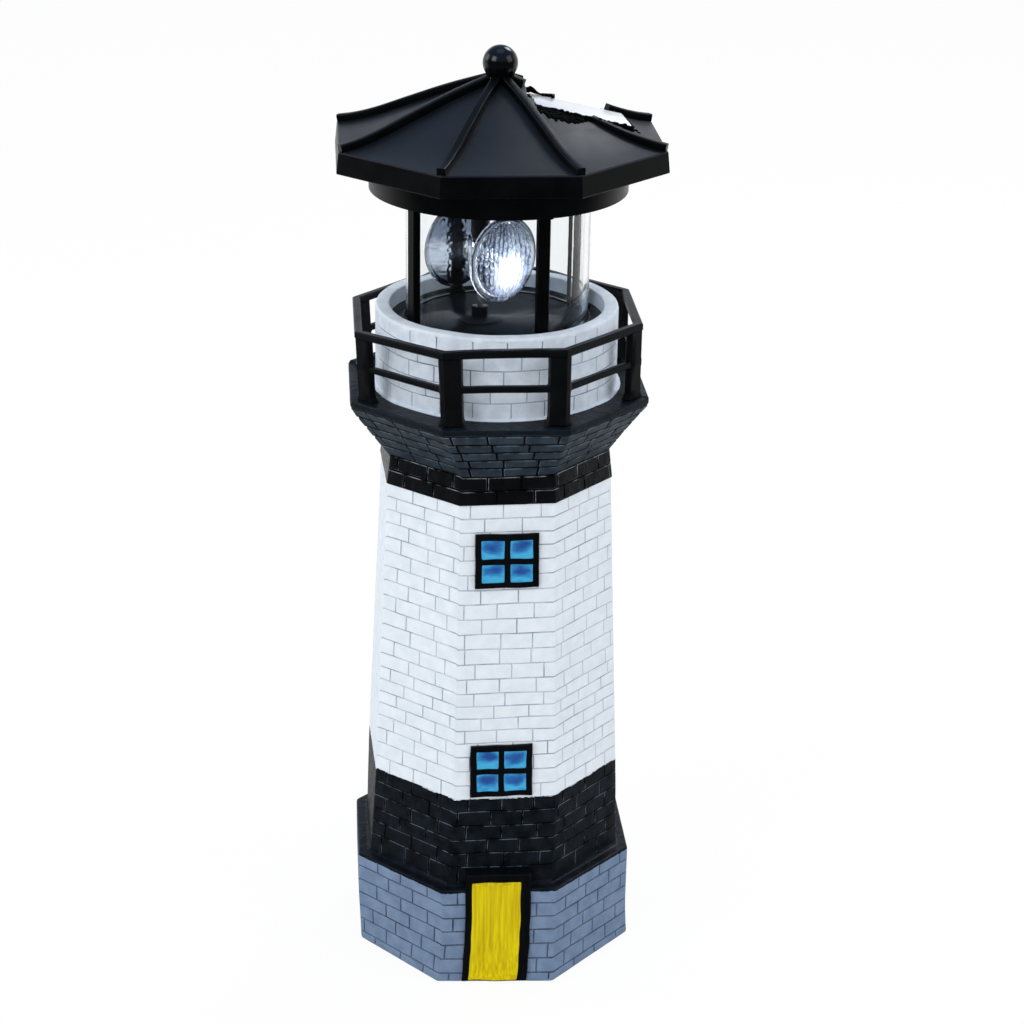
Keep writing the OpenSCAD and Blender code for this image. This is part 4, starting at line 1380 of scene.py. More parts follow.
        # each zone's face, tint, joint, edge colour of rubbed paint and painted highlight, its share of the edges,
        # roughness and run
        looks = (
            ("#6b7f9c", "#788ca8", "#3a485e", "#8fa2bb", 0.4, 0.65, 0.6),
            ("#090d12", "#141b23", "#020304", "#66727e", 0.9, 0.4, 1.0),
            ("#e4ebf3", "#dbe4ed", "#97a6b5", "#f2f6fa", 0.5, 0.6, 0.4),
            ("#06080b", "#0b0e13", "#020304", "#949da5", 1.0, 0.36, 1.0),
            ("#222d37", "#303d49", "#010102", "#6a7884", 0.8, 0.5, 1.0),
            ("#121b24", "#0d141c", "#05070a", "#46535e", 0.4, 0.45, 1.0),
            ("#e9f3ff", "#d6e3f1", "#8495a8", "#f6fafd", 0.6, 0.6, 0.6),
        )
        return tuple(PaintZone(start, *look) for start, look in zip(starts, looks))

    def build(self, finishes: "Finishes") -> None:
        """Builds and places the casting, its door and its windows."""
        piece = self.shell()
        paint = BrushedPaintOnResin("matt_acrylic_paint_on_cast_resin", self.zones()).build()
        rule = relief_rule(paint, finishes.bare_resin)
        rule.run(piece, {"Joint depth": self.joint_depth * MM, "Swell": 0.12 * MM, "Swell size": 7 * MM})
        place(clean(piece, math.radians(17)), "tower", "cast_resin", ["tower_casting"])
        self.door(finishes)
        self.window("window_low", 89.2, -1.5, 3.0, finishes)
        self.window("window_high", 175.4, 0.0, 7.0, finishes)

    def relief(
        self,
        name: str,
        xs: list[float],
        zs: list[float],
        height_at: Callable[[float, float], float],
        turn: Matrix,
        seed: float,
        wander: float,
    ) -> Piece:
        """Builds a closed block whose front is a height map.

        Args:
            name: The piece's name.
            xs: Places of the columns.
            zs: Places of the rows.
            height_at: How far the front stands out at a place.
            turn: Turns and moves the block into the wall.
            seed: Picks the wandering of its edges.
            wander: How far edges wander.

        Returns:
            The new object.
        """
        front = bent([(x, -height_at(x, z), z) for z in zs for x in xs], wander, 7.0, seed)
        back = [(x, 1.6, z) for x, _, z in front]
        nx, nz = len(xs), len(zs)
        count, last = nx * nz, nx - 1
        faces = []
        for j in range(nz - 1):
            for a in range(j * nx, j * nx + last):
                faces.append((a, a + 1, a + nx + 1, a + nx))
                b = a + count
                faces.append((b, b + nx, b + nx + 1, b + 1))
        rim = list(range(nx)) + [j * nx + last for j in range(1, nz)]
        rim += [count - nx + i for i in range(nx - 2, -1, -1)] + [j * nx for j in range(nz - 2, 0, -1)]
        faces += [(a, a + count, b + count, b) for a, b in zip(rim, rim[1:] + rim[:1])]
        return piece_of(name, [tuple(turn @ Vector(p)) for p in front + back], faces)

    def split(self, stops: list[float], fine: int) -> list[float]:
        """Cuts the spans between stops into equal steps, with a pair of lines at each inner stop.

        Args:
            stops: Edges of the frame, its bars and its panes.
            fine: Length of a step on the long spans.

        Returns:
            All the lines, in order.
        """
        lines = [stops[0], stops[0] + 0.25]
        for a, b in zip(stops, stops[1:]):
            steps = max(2, round((b - a) / fine)) if b - a > 2.6 else 2
            inner = [a + (b - a) * k / steps for k in range(1, steps)]
            lines += inner + ([b - 0.1, b + 0.1] if b != stops[-1] else [])
        return sorted(set(lines + [stops[-1] - 0.25, stops[-1]]))

    def window(self, name: str, height: float, shift: float, seed: float, finishes: "Finishes") -> None:
        """Builds and places one window: a black frame with four painted panes.

        Args:
            name: The piece's name.
            height: Level of its middle.
            shift: How far it stands to the right.
            seed: Picks the wandering of its edges.
            finishes: The object's finishes.
        """
        width, tall, bar, proud, sunk = 24.0, 21.5, 2.5, 1.2, 0.75
        tilt = math.atan(FLAT * (self.tower_foot_r - self.tower_top_r) / (self.band_foot - self.plinth_h))
        spun = Matrix.Rotation(math.radians(self.twist(height)), 4, "Z")
        turn = Matrix.Translation((shift, 0, 0)) @ spun
        turn = turn @ Matrix.Translation((0.0, -FLAT * self.shaft_r(height), height)) @ Matrix.Rotation(-tilt, 4, "X")

        def stops(size: float) -> list[float]:
            """Edges of the frame and its middle bar."""
            half = size / 2
            return [-half, -half + bar, -bar / 2, bar / 2, half - bar, half]

        columns, levels = stops(width), stops(tall)

        def pane(v: float, edges: list[float]) -> float:
            """Share of the way into a pane, 0 on the frame and 1 in the pane's middle."""
            for a, b in ((edges[1], edges[2]), (edges[3], edges[4])):
                if a < v < b:
                    return 1 - abs(2 * (v - a) / (b - a) - 1)
            return 0.0

        def inside(x: float, z: float) -> float:
            """The lesser share of the two ways into a pane."""
            return min(pane(x, columns), pane(z, levels))

        def height_at(x: float, z: float) -> float:
            """Frame, panes and the frame's rounded rim."""
            rim = min(width / 2 - abs(x), tall / 2 - abs(z))
            return proud - sunk * min(1.0, inside(x, z) / 0.05) - (0.35 if rim < 0.1 else 0.0)

        def upper(z: float) -> float:
            """Depth of the blue up a pane: deepest above its middle, none at its foot."""
            for a, b in ((levels[1], levels[2]), (levels[3], levels[4])):
                if a < z < b:
                    return max(0.0, 1 - abs((z - a) / (b - a) - 0.63) / 0.5)
            return 0.0

        xs, zs = self.split(columns, 1), self.split(levels, 1)
        piece = self.relief(name, xs, zs, height_at, turn, seed, 0.35)
        middle = [1.25 * pane(x, columns) ** 0.35 * upper(z) for z in zs for x in xs]
        carry(piece, {"middle": middle * 2})
        glazed = [inside(x, z) for z in zs for x in xs]
        self.dress(piece, glazed, finishes.black_enamel, finishes.pane_paint)
        place(clean(piece), "tower", "cast_resin", ["tower_casting"])

    def dress(self, piece: Piece, inside: list[float], outer: Material, inner: Material) -> None:
        """Gives a relief block its two paints.

        Args:
            piece: The block.
            inside: For each front point, how far it lies inside the inner paint.
            outer: Paint of the frame.
            inner: Paint of the panel.
        """
        piece.data.materials.append(outer)
        piece.data.materials.append(inner)
        for face in piece.data.polygons:
            front = max(face.vertices) < len(inside)
            face.material_index = int(front and sum(inside[v] > 0.001 for v in face.vertices) >= 2)

    def door(self, finishes: "Finishes") -> None:
        """Builds and places the door: a yellow panel in a black frame that stands proud of the plinth.

        Args:
            finishes: The object's finishes.
        """
        left, right, foot, tall, proud, sunk = -13.15, 12.35, 1.3, 47.4, 1.2, 0.8
        columns = [left, left + 2.7, right - 4.1, right]
        levels = [foot, foot + 0.45, tall - 3.4, tall]
        ledge, back, front_side = 38.0, 5.5, 5

        def depth(v: float, edges: list[float]) -> float:
            """Share of the way into the panel."""
            a, b = edges[1], edges[2]
            return 1 - abs(2 * (v - a) / (b - a) - 1) if a < v < b else 0.0

        def height_at(x: float, z: float) -> float:
            """Frame, panel and the frame's rounded rim."""
            rim = min(x - left, right - x, tall - z)
            inside = min(depth(x, columns) * 9, depth(z, levels) * 20)
            return proud - sunk * min(1.0, inside) - (0.3 if rim < 0.1 else 0.0)

        xs, zs = self.split(columns, 2), self.split(levels, 2)
        turn = Matrix.Translation((0, -FLAT * self.plinth_r, 0))
        piece = self.relief("door", xs, zs, height_at, turn, 5.0, 0.45)
        # above the plinth's ledge the frame reaches back to the tower
        for vertex in piece.data.vertices:
            if vertex.index >= len(xs) * len(zs) and vertex.co.z > ledge * MM:
                vertex.co.y += back * MM
            x, z = vertex.co.x / MM, vertex.co.z / MM
            dx, dy = self.foot(front_side, (x + HALF_TURN) / SIDE_TURN, z)
            vertex.co.x += dx * MM
            vertex.co.y += (dy - FLAT * self.flare(z)) * MM
            vertex.co.z = max(vertex.co.z, 0.0)
        glazed = [min(depth(x, columns), depth(z, levels)) for z in zs for x in xs]
        self.dress(piece, glazed, finishes.black_enamel, finishes.yellow_enamel)
        place(clean(piece), "tower", "cast_resin", ["tower_casting"])


# ---------------------------------------------------------------- gallery railing


@dataclass
class Railing:
    """The black railing round the gallery: eight posts, a top rail and a middle rail."""

    deck: float = 232.0
    radius: float = 56.9
    thick: float = 2.4
    post_w: float = 7.8
    post_shift: float = 1.5
    top_low: float = 258.0
    top_high: float = 261.0
    top_r: float = 57.2
    top_t: float = 3.0
    mid_low: float = 244.7
    mid_high: float = 247.2
    soft: float = 0.35
    sag: float = 2.4
    lean: float = 1.3
    post_swells: tuple[Pair, ...] = (
        (0.0, 0.55), (0.35, 0.8), (1.0, 0.62), (2.2, 0.22), (3.6, 0.02), (6.0, 0.0),
        (12.3, 0.0), (12.8, 0.22), (15.1, 0.22), (15.6, 0.0), (25.0, 0.0), (26.02, 0.0),
    )

    def settle(self, piece: Piece) -> Piece:
        """Lets the railing sag and lean out on its left side, as it was glued on; the feet stay on the deck.

        Args:
            piece: A part of the railing.

        Returns:
            The same object.
        """
        for vertex in piece.data.vertices:
            x, _, z = (c / MM for c in vertex.co)
            share = max(0.0, (z - self.deck) / (self.top_high - self.deck))
            side = min(1.0, max(0.0, (-x - 6) / 47))
            vertex.co.z -= self.sag * MM * share * side
            vertex.co.x -= self.lean * MM * share * min(1.0, side * 3)
        return piece

    def loop(self, name: str, radius: float, depth: float, low: float, high: float, soft: float) -> Piece:
        """Builds a closed octagonal rail with soft edges.

        Args:
            name: The piece's name.
            radius: Outer corner radius.
            depth: Depth of the section, square to a side.
            low: Underside.
            high: Top.
            soft: Rounding of its edges.

        Returns:
            The new object.
        """
        inner, steps = radius - depth / FLAT, 9
        outline = [
            (radius - soft, low), (radius, low + soft), (radius, high - soft), (radius - soft, high),
            (inner + soft, high), (inner, high - soft), (inner, low + soft), (inner + soft, low),
        ]
        rows = []
        for r, z in outline:
            plan = [on_side(r, index, k / steps) for index in range(SIDES) for k in range(steps)]
            rows.append([(x, y, z + 0.14 * noise.noise(Vector((x / 14, y / 14, low / 7)))) for x, y in plan])
        return clean(skinned(name, rows, loop=True))

    def post(self, name: str, side: int) -> Piece:
        """Builds one post at the first corner: a plate bent round the corner, with a lump of paint at its foot.

        Args:
            name: The shape's name.
            side: 1 or -1, for the side of the corner that it mostly lies on.

        Returns:
            The shape, with its corner on the X axis.
        """
        slope = math.tan(math.radians(HALF_TURN))
        reach = self.post_w / 2
        low_y, high_y = side * self.post_shift - reach, side * self.post_shift + reach
        rows = []
        for level, swell in self.post_swells:
            low, high = low_y - swell, high_y + swell
            ys = sorted([low, low + self.soft, low_y * 0.5, 0.0, high_y * 0.5, high - self.soft, high])
            outer, inner = [], []
            for y in ys:
                back = abs(y) * slope
                rim = self.soft if y in (ys[0], ys[-1]) else 0.0
                outer.append((self.radius - back + swell * 0.7 - rim, y, level))
                inner.append((self.radius - self.thick / FLAT - back - swell * 0.7 + rim, y, level))
            rows.append(outer + inner[::-1])
        ends = [tuple(sum(p[i] for p in row) / len(row) for i in range(3)) for row in (rows[0], rows[-1])]
        return clean(skinned(name, [[ends[0]], *rows, [ends[1]]]))

    def build(self, finishes: "Finishes") -> None:
        """Builds and places the railing."""
        spots = []
        for index in range(SIDES):
            x, y = corner(1.0, index)
            spots.append(((0.0, 0.0, self.deck), HALF_TURN + SIDE_TURN * index, 0 if x * y > 0 else 1))
        shapes = [self.post("post_a", 1), self.post("post_b", -1)]
        posts = stamped("railing_post_set", spots, shapes, finishes.railing_plastic)
        place(self.settle(posts), "tower", "railing_plastic", ["railing_posts"])
        for name, node, rail in (
            ("railing_top", "top_rail", (self.top_r, self.top_t, self.top_low, self.top_high, 0.5)),
            ("railing_middle", "mid_rail", (self.radius - 0.15, self.thick - 0.15, self.mid_low, self.mid_high, 0.45)),
        ):
            place(self.settle(self.loop(name, *rail)), "tower", "railing_plastic", [node], finishes.railing_plastic)


# ---------------------------------------------------------------- lantern


@dataclass
class LanternBody:
    """The plastic lantern: tray, clear tube, cage posts, drum and drive cover."""

    tray: float = 257.0
    drum: float = 307.5
    tube_r: float = 34.4
    tube_wall: float = 2.0
    groove: float = 1.2
    post_in: float = 34.9
    post_t: float = 3.0
    post_w: float = 4.8
    post_angles: tuple[float, ...] = (-67.5, 22.5, 112.5, 208.7)

    def tube(self) -> Piece:
        """Builds the clear tube with the rolled foot that shows above the tray.

        Returns:
            The tube at its own height.
        """
        low, high = self.tray - self.groove, self.drum + self.groove
        out, wall = self.tube_r, self.tube_wall
        outline = [(out, low), (out, self.tray + 0.1)]
        foot = 0.9
        outline += [(out + foot, self.tray + 0.15), (out + foot, self.tray + 0.9)]
        for k in range(1, 6):
            angle = math.radians(90 * k / 6)
            outline.append((out + foot * (1 - math.sin(angle)), self.tray + 0.9 + 2.6 * (1 - math.cos(angle))))
        outline += [(out, self.tray + 4), (out, high), (out - wall, high), (out - wall, low)]
        return lathe("clear_tube_moulding", outline, steps=160, loop=True)

    def cage_post(self) -> Piece:
        """Builds one cage post on the X axis, with its foot and head flanges.

        Returns:
            The post, with the tray's face at zero.
        """
        low, high = -self.groove, self.drum - self.tray + self.groove
        top = high - self.groove
        levels = [(low, 0, 0), (0, 0, 0), (0.02, 0.85, 0.85), (0.7, 0.85, 0.85), (0.9, 0, 0), (25, 0, 0)]
        levels += [(top - 3.3, 0, 0), (top - 3.1, 0.3, 1.3), (top - 0.5, 0.3, 1.5), (top, 0.3, 1.5)]
        levels += [(top + 0.02, 0, 0), (high, 0, 0)]
        soft, rows = 0.5, []
        for level, wide, out in levels:
            a, b = self.post_in - min(wide, 0.35), self.post_in + self.post_t + out
            w = self.post_w / 2 + wide
            rows.append([
                (a, -w + soft, level), (a + soft, -w, level), (b - soft, -w, level), (b, -w + soft, level),
                (b, w - soft, level), (b - soft, w, level), (a + soft, w, level), (a, w - soft, level),
            ])
        ends = [[(self.post_in + self.post_t / 2, 0.0, rows[i][0][2])] for i in (0, -1)]
        return clean(skinned("cage_post", [ends[0]] + rows + [ends[1]]))

    def build(self, finishes: "Finishes") -> None:
        """Builds and places the lantern's body."""
        place(self.tube(), "lantern", "clear_styrene", ["clear_tube"], finishes.clear_tube)
        spots = [((0.0, 0.0, self.tray), angle, 0) for angle in self.post_angles]
        posts = stamped("cage_post_set", spots, [self.cage_post()], finishes.post_black)
        place(posts, "lantern", "gloss_black_abs", ["cage_posts"])
        for node, name, slot, finish, soft in (
            ("drum_housing", "drum_moulding", "gloss_black_abs", finishes.shade_darkened_black, 0.4),
            ("lantern_tray", "tray_moulding", "black_abs", finishes.tray_black, 0.3),
            ("drive_cover", "drive_cover_moulding", "black_abs", finishes.satin_black, 0.3),
            ("led_stem", "lamp_stem_moulding", "black_abs", finishes.satin_black, 0.2),
        ):
            place(refined(node, name, soft), "lantern", slot, [node], finish)


@dataclass
class Roof:
    """The eight-sided roof with its ribs, ball, solar panel and smeared sealant."""

    eave_r: float = 64.0
    eave: float = 326.5
    rise: float = 20.5
    fascia_r: float = 65.0
    fascia_foot: float = 318.5
    wall: float = 2.0
    rib_w: float = 3.2
    rib_rise: float = 3.4
    ball_r: float = 6.5
    neck_r: float = 2.4
    panel_l: float = 36.0
    panel_w: float = 24.0
    panel_t: float = 2.2
    panel_side: float = -3.1
    panel_slope: float = 13.0
    panel_yaw: float = 2.0
    panel_roll: float = -2.1
    panel_start: float = 11.6
    panel_drop: float = 6.2
    bead: float = 0.8
    bead_back: float = 4.0
    bead_t: float = 1.0
    bead_fill: float = 7.0
    land_fall: float = 0.23
    land_x: Pair = (-3.4, 29.0)
    curve: tuple[Pair, ...] = ((1.0, 0.0), (0.906, 0.055), (0.78, 0.17), (0.56, 0.44), (0.31, 0.745), (0.065, 1.0))
    cut_ribs: tuple[tuple[int, float, float], ...] = ((7, 8.8, 34.6), (0, 8.0, 44.4), (1, 20.0, 55.0))
    near_rib: int = 7
    sunk_rib: float = 1.4

    @property
    def peak(self) -> float:
        """Level of the roof's top."""
        return self.eave + self.rise

    def rise_at(self, share: float) -> float:
        """Height over the eaves at a share of the run, through the outline's points as one smooth curve.

        Args:
            share: 0 at the middle and 1 at the eaves.

        Returns:
            The height in millimetres.
        """
        points = sorted(self.curve)
        xs = [p[0] for p in points]
        slopes = [(b[1] - a[1]) / (b[0] - a[0]) for a, b in zip(points, points[1:])]
        bends = [slopes[0]] + [(a + b) / 2 for a, b in zip(slopes, slopes[1:])] + [slopes[-1]]
        if share <= xs[0]:
            return points[0][1] * self.rise
        for i in range(len(points) - 1):
            if share <= xs[i + 1]:
                run = xs[i + 1] - xs[i]
                t = (share - xs[i]) / run
                a, b = points[i][1], points[i + 1][1]
                value = (2 * t**3 - 3 * t**2 + 1) * a + (t**3 - 2 * t**2 + t) * run * bends[i]
                value += (3 * t**2 - 2 * t**3) * b + (t**3 - t**2) * run * bends[i + 1]
                return value * self.rise
        return 0.0

    def panel_matrix(self) -> Matrix:
        """The panel's own axes: its upper end's middle is the origin and X runs down the roof.

        Returns:
            Their place as a matrix.
        """
        at = Matrix.Translation((self.panel_start, 0.0, self.peak - self.panel_drop))
        for amount, axis in ((self.panel_yaw, "Z"), (self.panel_slope, "Y"), (self.panel_roll, "X")):
            at = at @ Matrix.Rotation(math.radians(amount), 4, axis)
        return at

    def surface(self, x: float, y: float) -> float:
        """Level of the roof over a place, without its ribs and its recess."""
        turns = [math.radians(SIDE_TURN * k) for k in range(SIDES)]
        reach = max(x * math.cos(turn) + y * math.sin(turn) for turn in turns)
        return self.eave + self.rise_at(min(1.0, reach / FLAT / self.eave_r))

    def block(self, name: str, margin: float, low: float, high: float, back: float = 0.0, up: float = 0.0) -> Piece:
        """Builds a block on the panel's plane.

        Args:
            name: The piece's name.
            margin: How far it reaches past the panel.
            low: Its underside, from the panel's face.
            high: Its top, from the panel's face.
            back: Further reach behind.
            up: Further reach above the panel's upper end.

        Returns:
            The block.
        """
        x0, x1 = -margin - up, self.panel_l + margin
        y0, y1 = self.panel_side - self.panel_w / 2 - margin, self.panel_side + self.panel_w / 2 + margin + back
        plan = ((x0, y0), (x1, y0), (x1, y1), (x0, y1))
        turn = self.panel_matrix()
        points = [tuple(turn @ Vector((x, y, z))) for z in (low, high) for x, y in plan]
        faces = [(3, 2, 1, 0), (4, 5, 6, 7), (0, 1, 5, 4), (1, 2, 6, 5), (2, 3, 7, 6), (3, 0, 4, 7)]
        return piece_of(name, points, faces)

    def shell(self) -> Piece:
        """Builds the roof moulding with the panel's recess cut in.

        Returns:
            The moulding, hollow and open below.
        """
        shares = [1.0 - (1.0 - 0.065) * (k / 26) for k in range(27)]
        outline = [(self.fascia_r - 0.25, self.fascia_foot), (self.fascia_r, self.fascia_foot + 0.3)]
        outline += [(self.eave_r + 0.2, self.eave - 0.5), (self.eave_r - 0.25, self.eave + 0.02)]
        outline += [(self.eave_r * s, self.eave + self.rise_at(s)) for s in shares[1:]]
        thick = self.wall / FLAT
        # the inside is skinned from the top down and closes on the fascia's foot
        inner = [(self.eave_r * s - thick * 0.6, self.eave + self.rise_at(s) - self.wall) for s in shares[-2:6:-3]]
        inner += [(self.eave_r - thick, self.eave - self.wall), (self.fascia_r - thick, self.fascia_foot)]
        inner.append((self.fascia_r - 0.25, self.fascia_foot))
        piece = skinned("roof_moulding", [octagon(r, z) for r, z in outline] + [[(0.0, 0.0, self.peak)]])
        under = [[(0.0, 0.0, self.peak - self.wall)]] + [octagon(r, z) for r, z in inner]
        clean(self.join(piece, skinned("roof_inside", under)))
        floor = self.block("recess_floor", 2 * self.bead, -9.0, -0.2, 28.0, 3.4)
        cutter = self.block("recess", self.bead, -self.panel_t - self.bead_t, 14.0, self.bead_back)
        self.combine(piece, floor, "UNION", keep_inside=True)
        self.combine(piece, cutter, "DIFFERENCE")
        self.combine(piece, self.land(), "DIFFERENCE")
        return piece

    def land(self) -> Piece:
        """What is shaved off the roof above and behind the panel: flush with its face, then falling away.

        Returns:
            The solid to cut away.
        """
        near, far, end = self.panel_side - 8, self.panel_side + self.panel_w / 2 + 0.5, 45.0
        outline = [(near, -0.35), (far, -0.35), (end, -0.35 - self.land_fall * (end - far)), (end, 16.0), (near, 16.0)]
        turn = self.panel_matrix()
        points = [tuple(turn @ Vector((x, y, z))) for x in self.land_x for y, z in outline]
        faces = [(4, 3, 2, 1, 0), (5, 6, 7, 8, 9)] + [(k, (k + 1) % 5, (k + 1) % 5 + 5, k + 5) for k in range(5)]
        return clean(piece_of("roof_land", points, faces))

    def join(self, piece: Piece, other: Piece) -> Piece:
        """Joins the second object's mesh to the first.

        Args:
            piece: The object that grows.
            other: The object that is used up.

        Returns:
            The first object.
        """
        work = bmesh.new()
        work.from_mesh(piece.data)
        work.from_mesh(other.data)
        work.to_mesh(piece.data)
        work.free()
        bpy.data.objects.remove(other)
        return piece

    def combine(self, piece: Piece, other: Piece, how: str, keep_inside: bool = False) -> None:
        """Adds or cuts one closed shape with another, and removes the second.

        Args:
            piece: The shape that changes.
            other: The shape that is used up.
            how: UNION or DIFFERENCE.
            keep_inside: True if the second shape is first cut to the roof's outline.
        """
        if keep_inside:
            outline = [(self.fascia_r - 0.5, self.fascia_foot + 0.5), (self.fascia_r - 0.5, self.eave - 2)]
            for share in (0.98 - 0.05 * k for k in range(19)):
                outline.append((self.eave_r * share - 0.4, self.eave + self.rise_at(share) - 0.4))
            rows = [[(0.0, 0.0, self.fascia_foot + 0.5)]]
            rows += [octagon(max(r, 1.0), z) for r, z in outline]
            rows.append([(0.0, 0.0, self.peak - 0.5)])
            bound = clean(skinned("roof_bound", rows))
            self.combine(other, bound, "INTERSECT")
        step = piece.modifiers.new("cut", "BOOLEAN")
        step.operation = how
        step.solver = "EXACT"
        step.object = other
        flatten(piece)
        bpy.data.objects.remove(other)

    def rib_lines(self) -> Piece:
        """Lines along the eight hips, broken where the panel lies.

        Returns:
            A piece of edges only, for the rib rule.
        """
        points: list[Point] = []
        edges: list[tuple[int, int]] = []
        cuts = {index: (low, high) for index, low, high in self.cut_ribs}
        for index in range(SIDES):
            spans = [(4.4, self.eave_r - 0.6)]
            if index in cuts:
                spans = [(4.4, cuts[index][0]), (cuts[index][1], self.eave_r - 0.6)]
            for low, high in spans:
                steps = max(3, round((high - low) / 2.2))
                for k in range(steps + 1):
                    radius = low + (high - low) * k / steps
                    if k:
                        edges.append((len(points) - 1, len(points)))
                    # the sealant holds the near hip's rib down where it comes out from under the panel
                    held = index == self.near_rib and low > 10
                    sunk = self.sunk_rib * max(0.0, 1 - (radius - low) / 22) if held else 0.0
                    points.append((*corner(radius, index), self.eave + self.rise_at(radius / self.eave_r) - sunk))
        return piece_of("roof_ribs", points, [], edges)

    def sealant(self) -> Piece:
        """Builds the smeared sealant: a bead round the panel and a wedge under its lower end.

        Returns:
            The two as one solid.
        """
        low, high = -self.panel_t - self.bead_t, -self.panel_t + 1.1
        piece = self.block("sealant_smear", self.bead, low, high)
        bottom = self.block("sealant_wedge", self.bead - 0.05, -self.panel_t - self.bead_fill, low + 0.4)
        self.combine(piece, bottom, "UNION")
        return piece

    def build(self, finishes: "Finishes") -> None:
        """Builds and places the roof, the ball and the panel."""
        shell = clean(self.shell())
        shell.data.materials.clear()
        # faces below the eaves take the darker black: painted shade on the upright fascia
        for finish in (finishes.roof_black, finishes.shade_darkened_black):
            shell.data.materials.append(finish)
        for face in shell.data.polygons:
            face.material_index = int(face.center.z < (self.eave - 0.3) * MM)
        place(shell, "lantern", "roof_abs", ["roof_cap"])
        ribs = self.rib_lines()
        sizes = {"Width": self.rib_w, "Height": self.rib_rise, "Rounding": 0.55, "Rise": 0.85}
        # the ribs take the darker black: painted shade on their sides
        rib_rule(finishes.shade_darkened_black).run(ribs, {label: size * MM for label, size in sizes.items()})
        place(clean(ribs), "lantern", "roof_abs", ["roof_cap"])
        steps = 26
        centre = self.peak + self.ball_r
        start = math.asin(self.neck_r / self.ball_r)
        outline = [(0.0, self.peak - 3.0), (self.neck_r, self.peak - 3.0)]
        outline += [(self.neck_r + 1.7, self.peak + 0.6), (self.neck_r + 0.6, self.peak + 1.0)]
        for k in range(steps):
            angle = start + (math.pi - start) * k / (steps - 1)
            if k == steps - 1:
                outline.append((0.0, centre + self.ball_r))
            else:
                outline.append((self.ball_r * math.sin(angle), centre - self.ball_r * math.cos(angle)))
        place(lathe("roof_ball", outline, steps=64), "lantern", "gloss_black_abs", ["finial"], finishes.gloss_black)
        panel = self.block("solar_plate", 0.0, -self.panel_t, 0.0)
        place(bevelled(panel, 0.35, 3), "lantern", "solar_laminate", ["solar_panel"], finishes.solar)
        place(self.smear(finishes), "lantern", "black_sealant", ["panel_sealant"], finishes.sealant)

    def smear(self, finishes: "Finishes") -> Piece:
        """Builds the ragged sealant: lumps stamped along the panel's edges on a smeared bead.

        Args:
            finishes: The object's finishes.

        Returns:
            Lumps, bead and curl as one piece.
        """
        dice = random.Random(23)
        blob = bpy.data.meshes.new("lump")
        work = bmesh.new()
        bmesh.ops.create_icosphere(work, subdivisions=2, radius=1.0 * MM)
        for vertex in work.verts:
            vertex.co.z *= 0.62
            vertex.co *= 1 + 0.22 * noise.noise(vertex.co * 900)
        work.to_mesh(blob)
        work.free()
        lump = linked("lump", blob)
        turn = self.panel_matrix()
        y0, y1 = self.panel_side - self.panel_w / 2, self.panel_side + self.panel_w / 2
        thick = self.panel_t
        spots = []

        def drop(x: float, y: float, z: float) -> None:
            """Adds a lump at a place on the panel's own axes."""
            spot = turn @ Vector((x + dice.uniform(-0.25, 0.25), y + dice.uniform(-0.25, 0.25), z))
            spots.append((tuple(spot), dice.uniform(0, 360), 0))

        for k in range(72):
            drop(k / 71 * self.panel_l, y0 - 0.45, dice.uniform(-thick, -0.35))
            drop(k / 71 * self.panel_l, y0 - 0.25, dice.uniform(-0.9, -0.1))
        for k in range(40):
            drop(self.panel_l + 0.35, y0 + (y1 - y0) * k / 39, dice.uniform(-thick, -0.6))
            drop(-0.3, y0 + (y1 - y0) * k / 39, dice.uniform(-thick, -0.7))
            drop(self.panel_l * k / 39, y1 + 0.4, dice.uniform(-thick, -0.9))
        # smeared down the roof in front of the panel's upper half, partly sealant and partly a dark fill standing for
        # the shadowed gap in front of the recess, a painted shadow; and a streak of dark lumps past its lower end
        for k in range(34):
            x = 0.4 + k * 0.62
            reach = 6.4 * max(0.0, 1 - ((x - 6.5) / 13) ** 2) * dice.uniform(0.7, 1.15)
            for step in range(int(reach / 0.6) + 1):
                spot = turn @ Vector((x + dice.uniform(-0.6, 0.6), y0 - 0.6 - 0.6 * step + dice.uniform(-0.3, 0.3), 0))
                level = min(self.surface(spot.x, spot.y) + dice.uniform(-0.45, 0.1), spot.z)
                spots.append(((spot.x, spot.y, level), dice.uniform(0, 360), 0))
        for k in range(9):
            x, y = 48.2 + 0.35 * k, 2.0 - 0.75 * k
            spots.append(((x, y, self.surface(x, y) - 0.1), 40.0 * k, 0))
        lumps = stamped("sealant_lumps", spots, [lump], finishes.sealant, (0.45, 1.15), 5)
        return clean(self.join(self.join(lumps, self.sealant()), self.curl(turn, y1)))

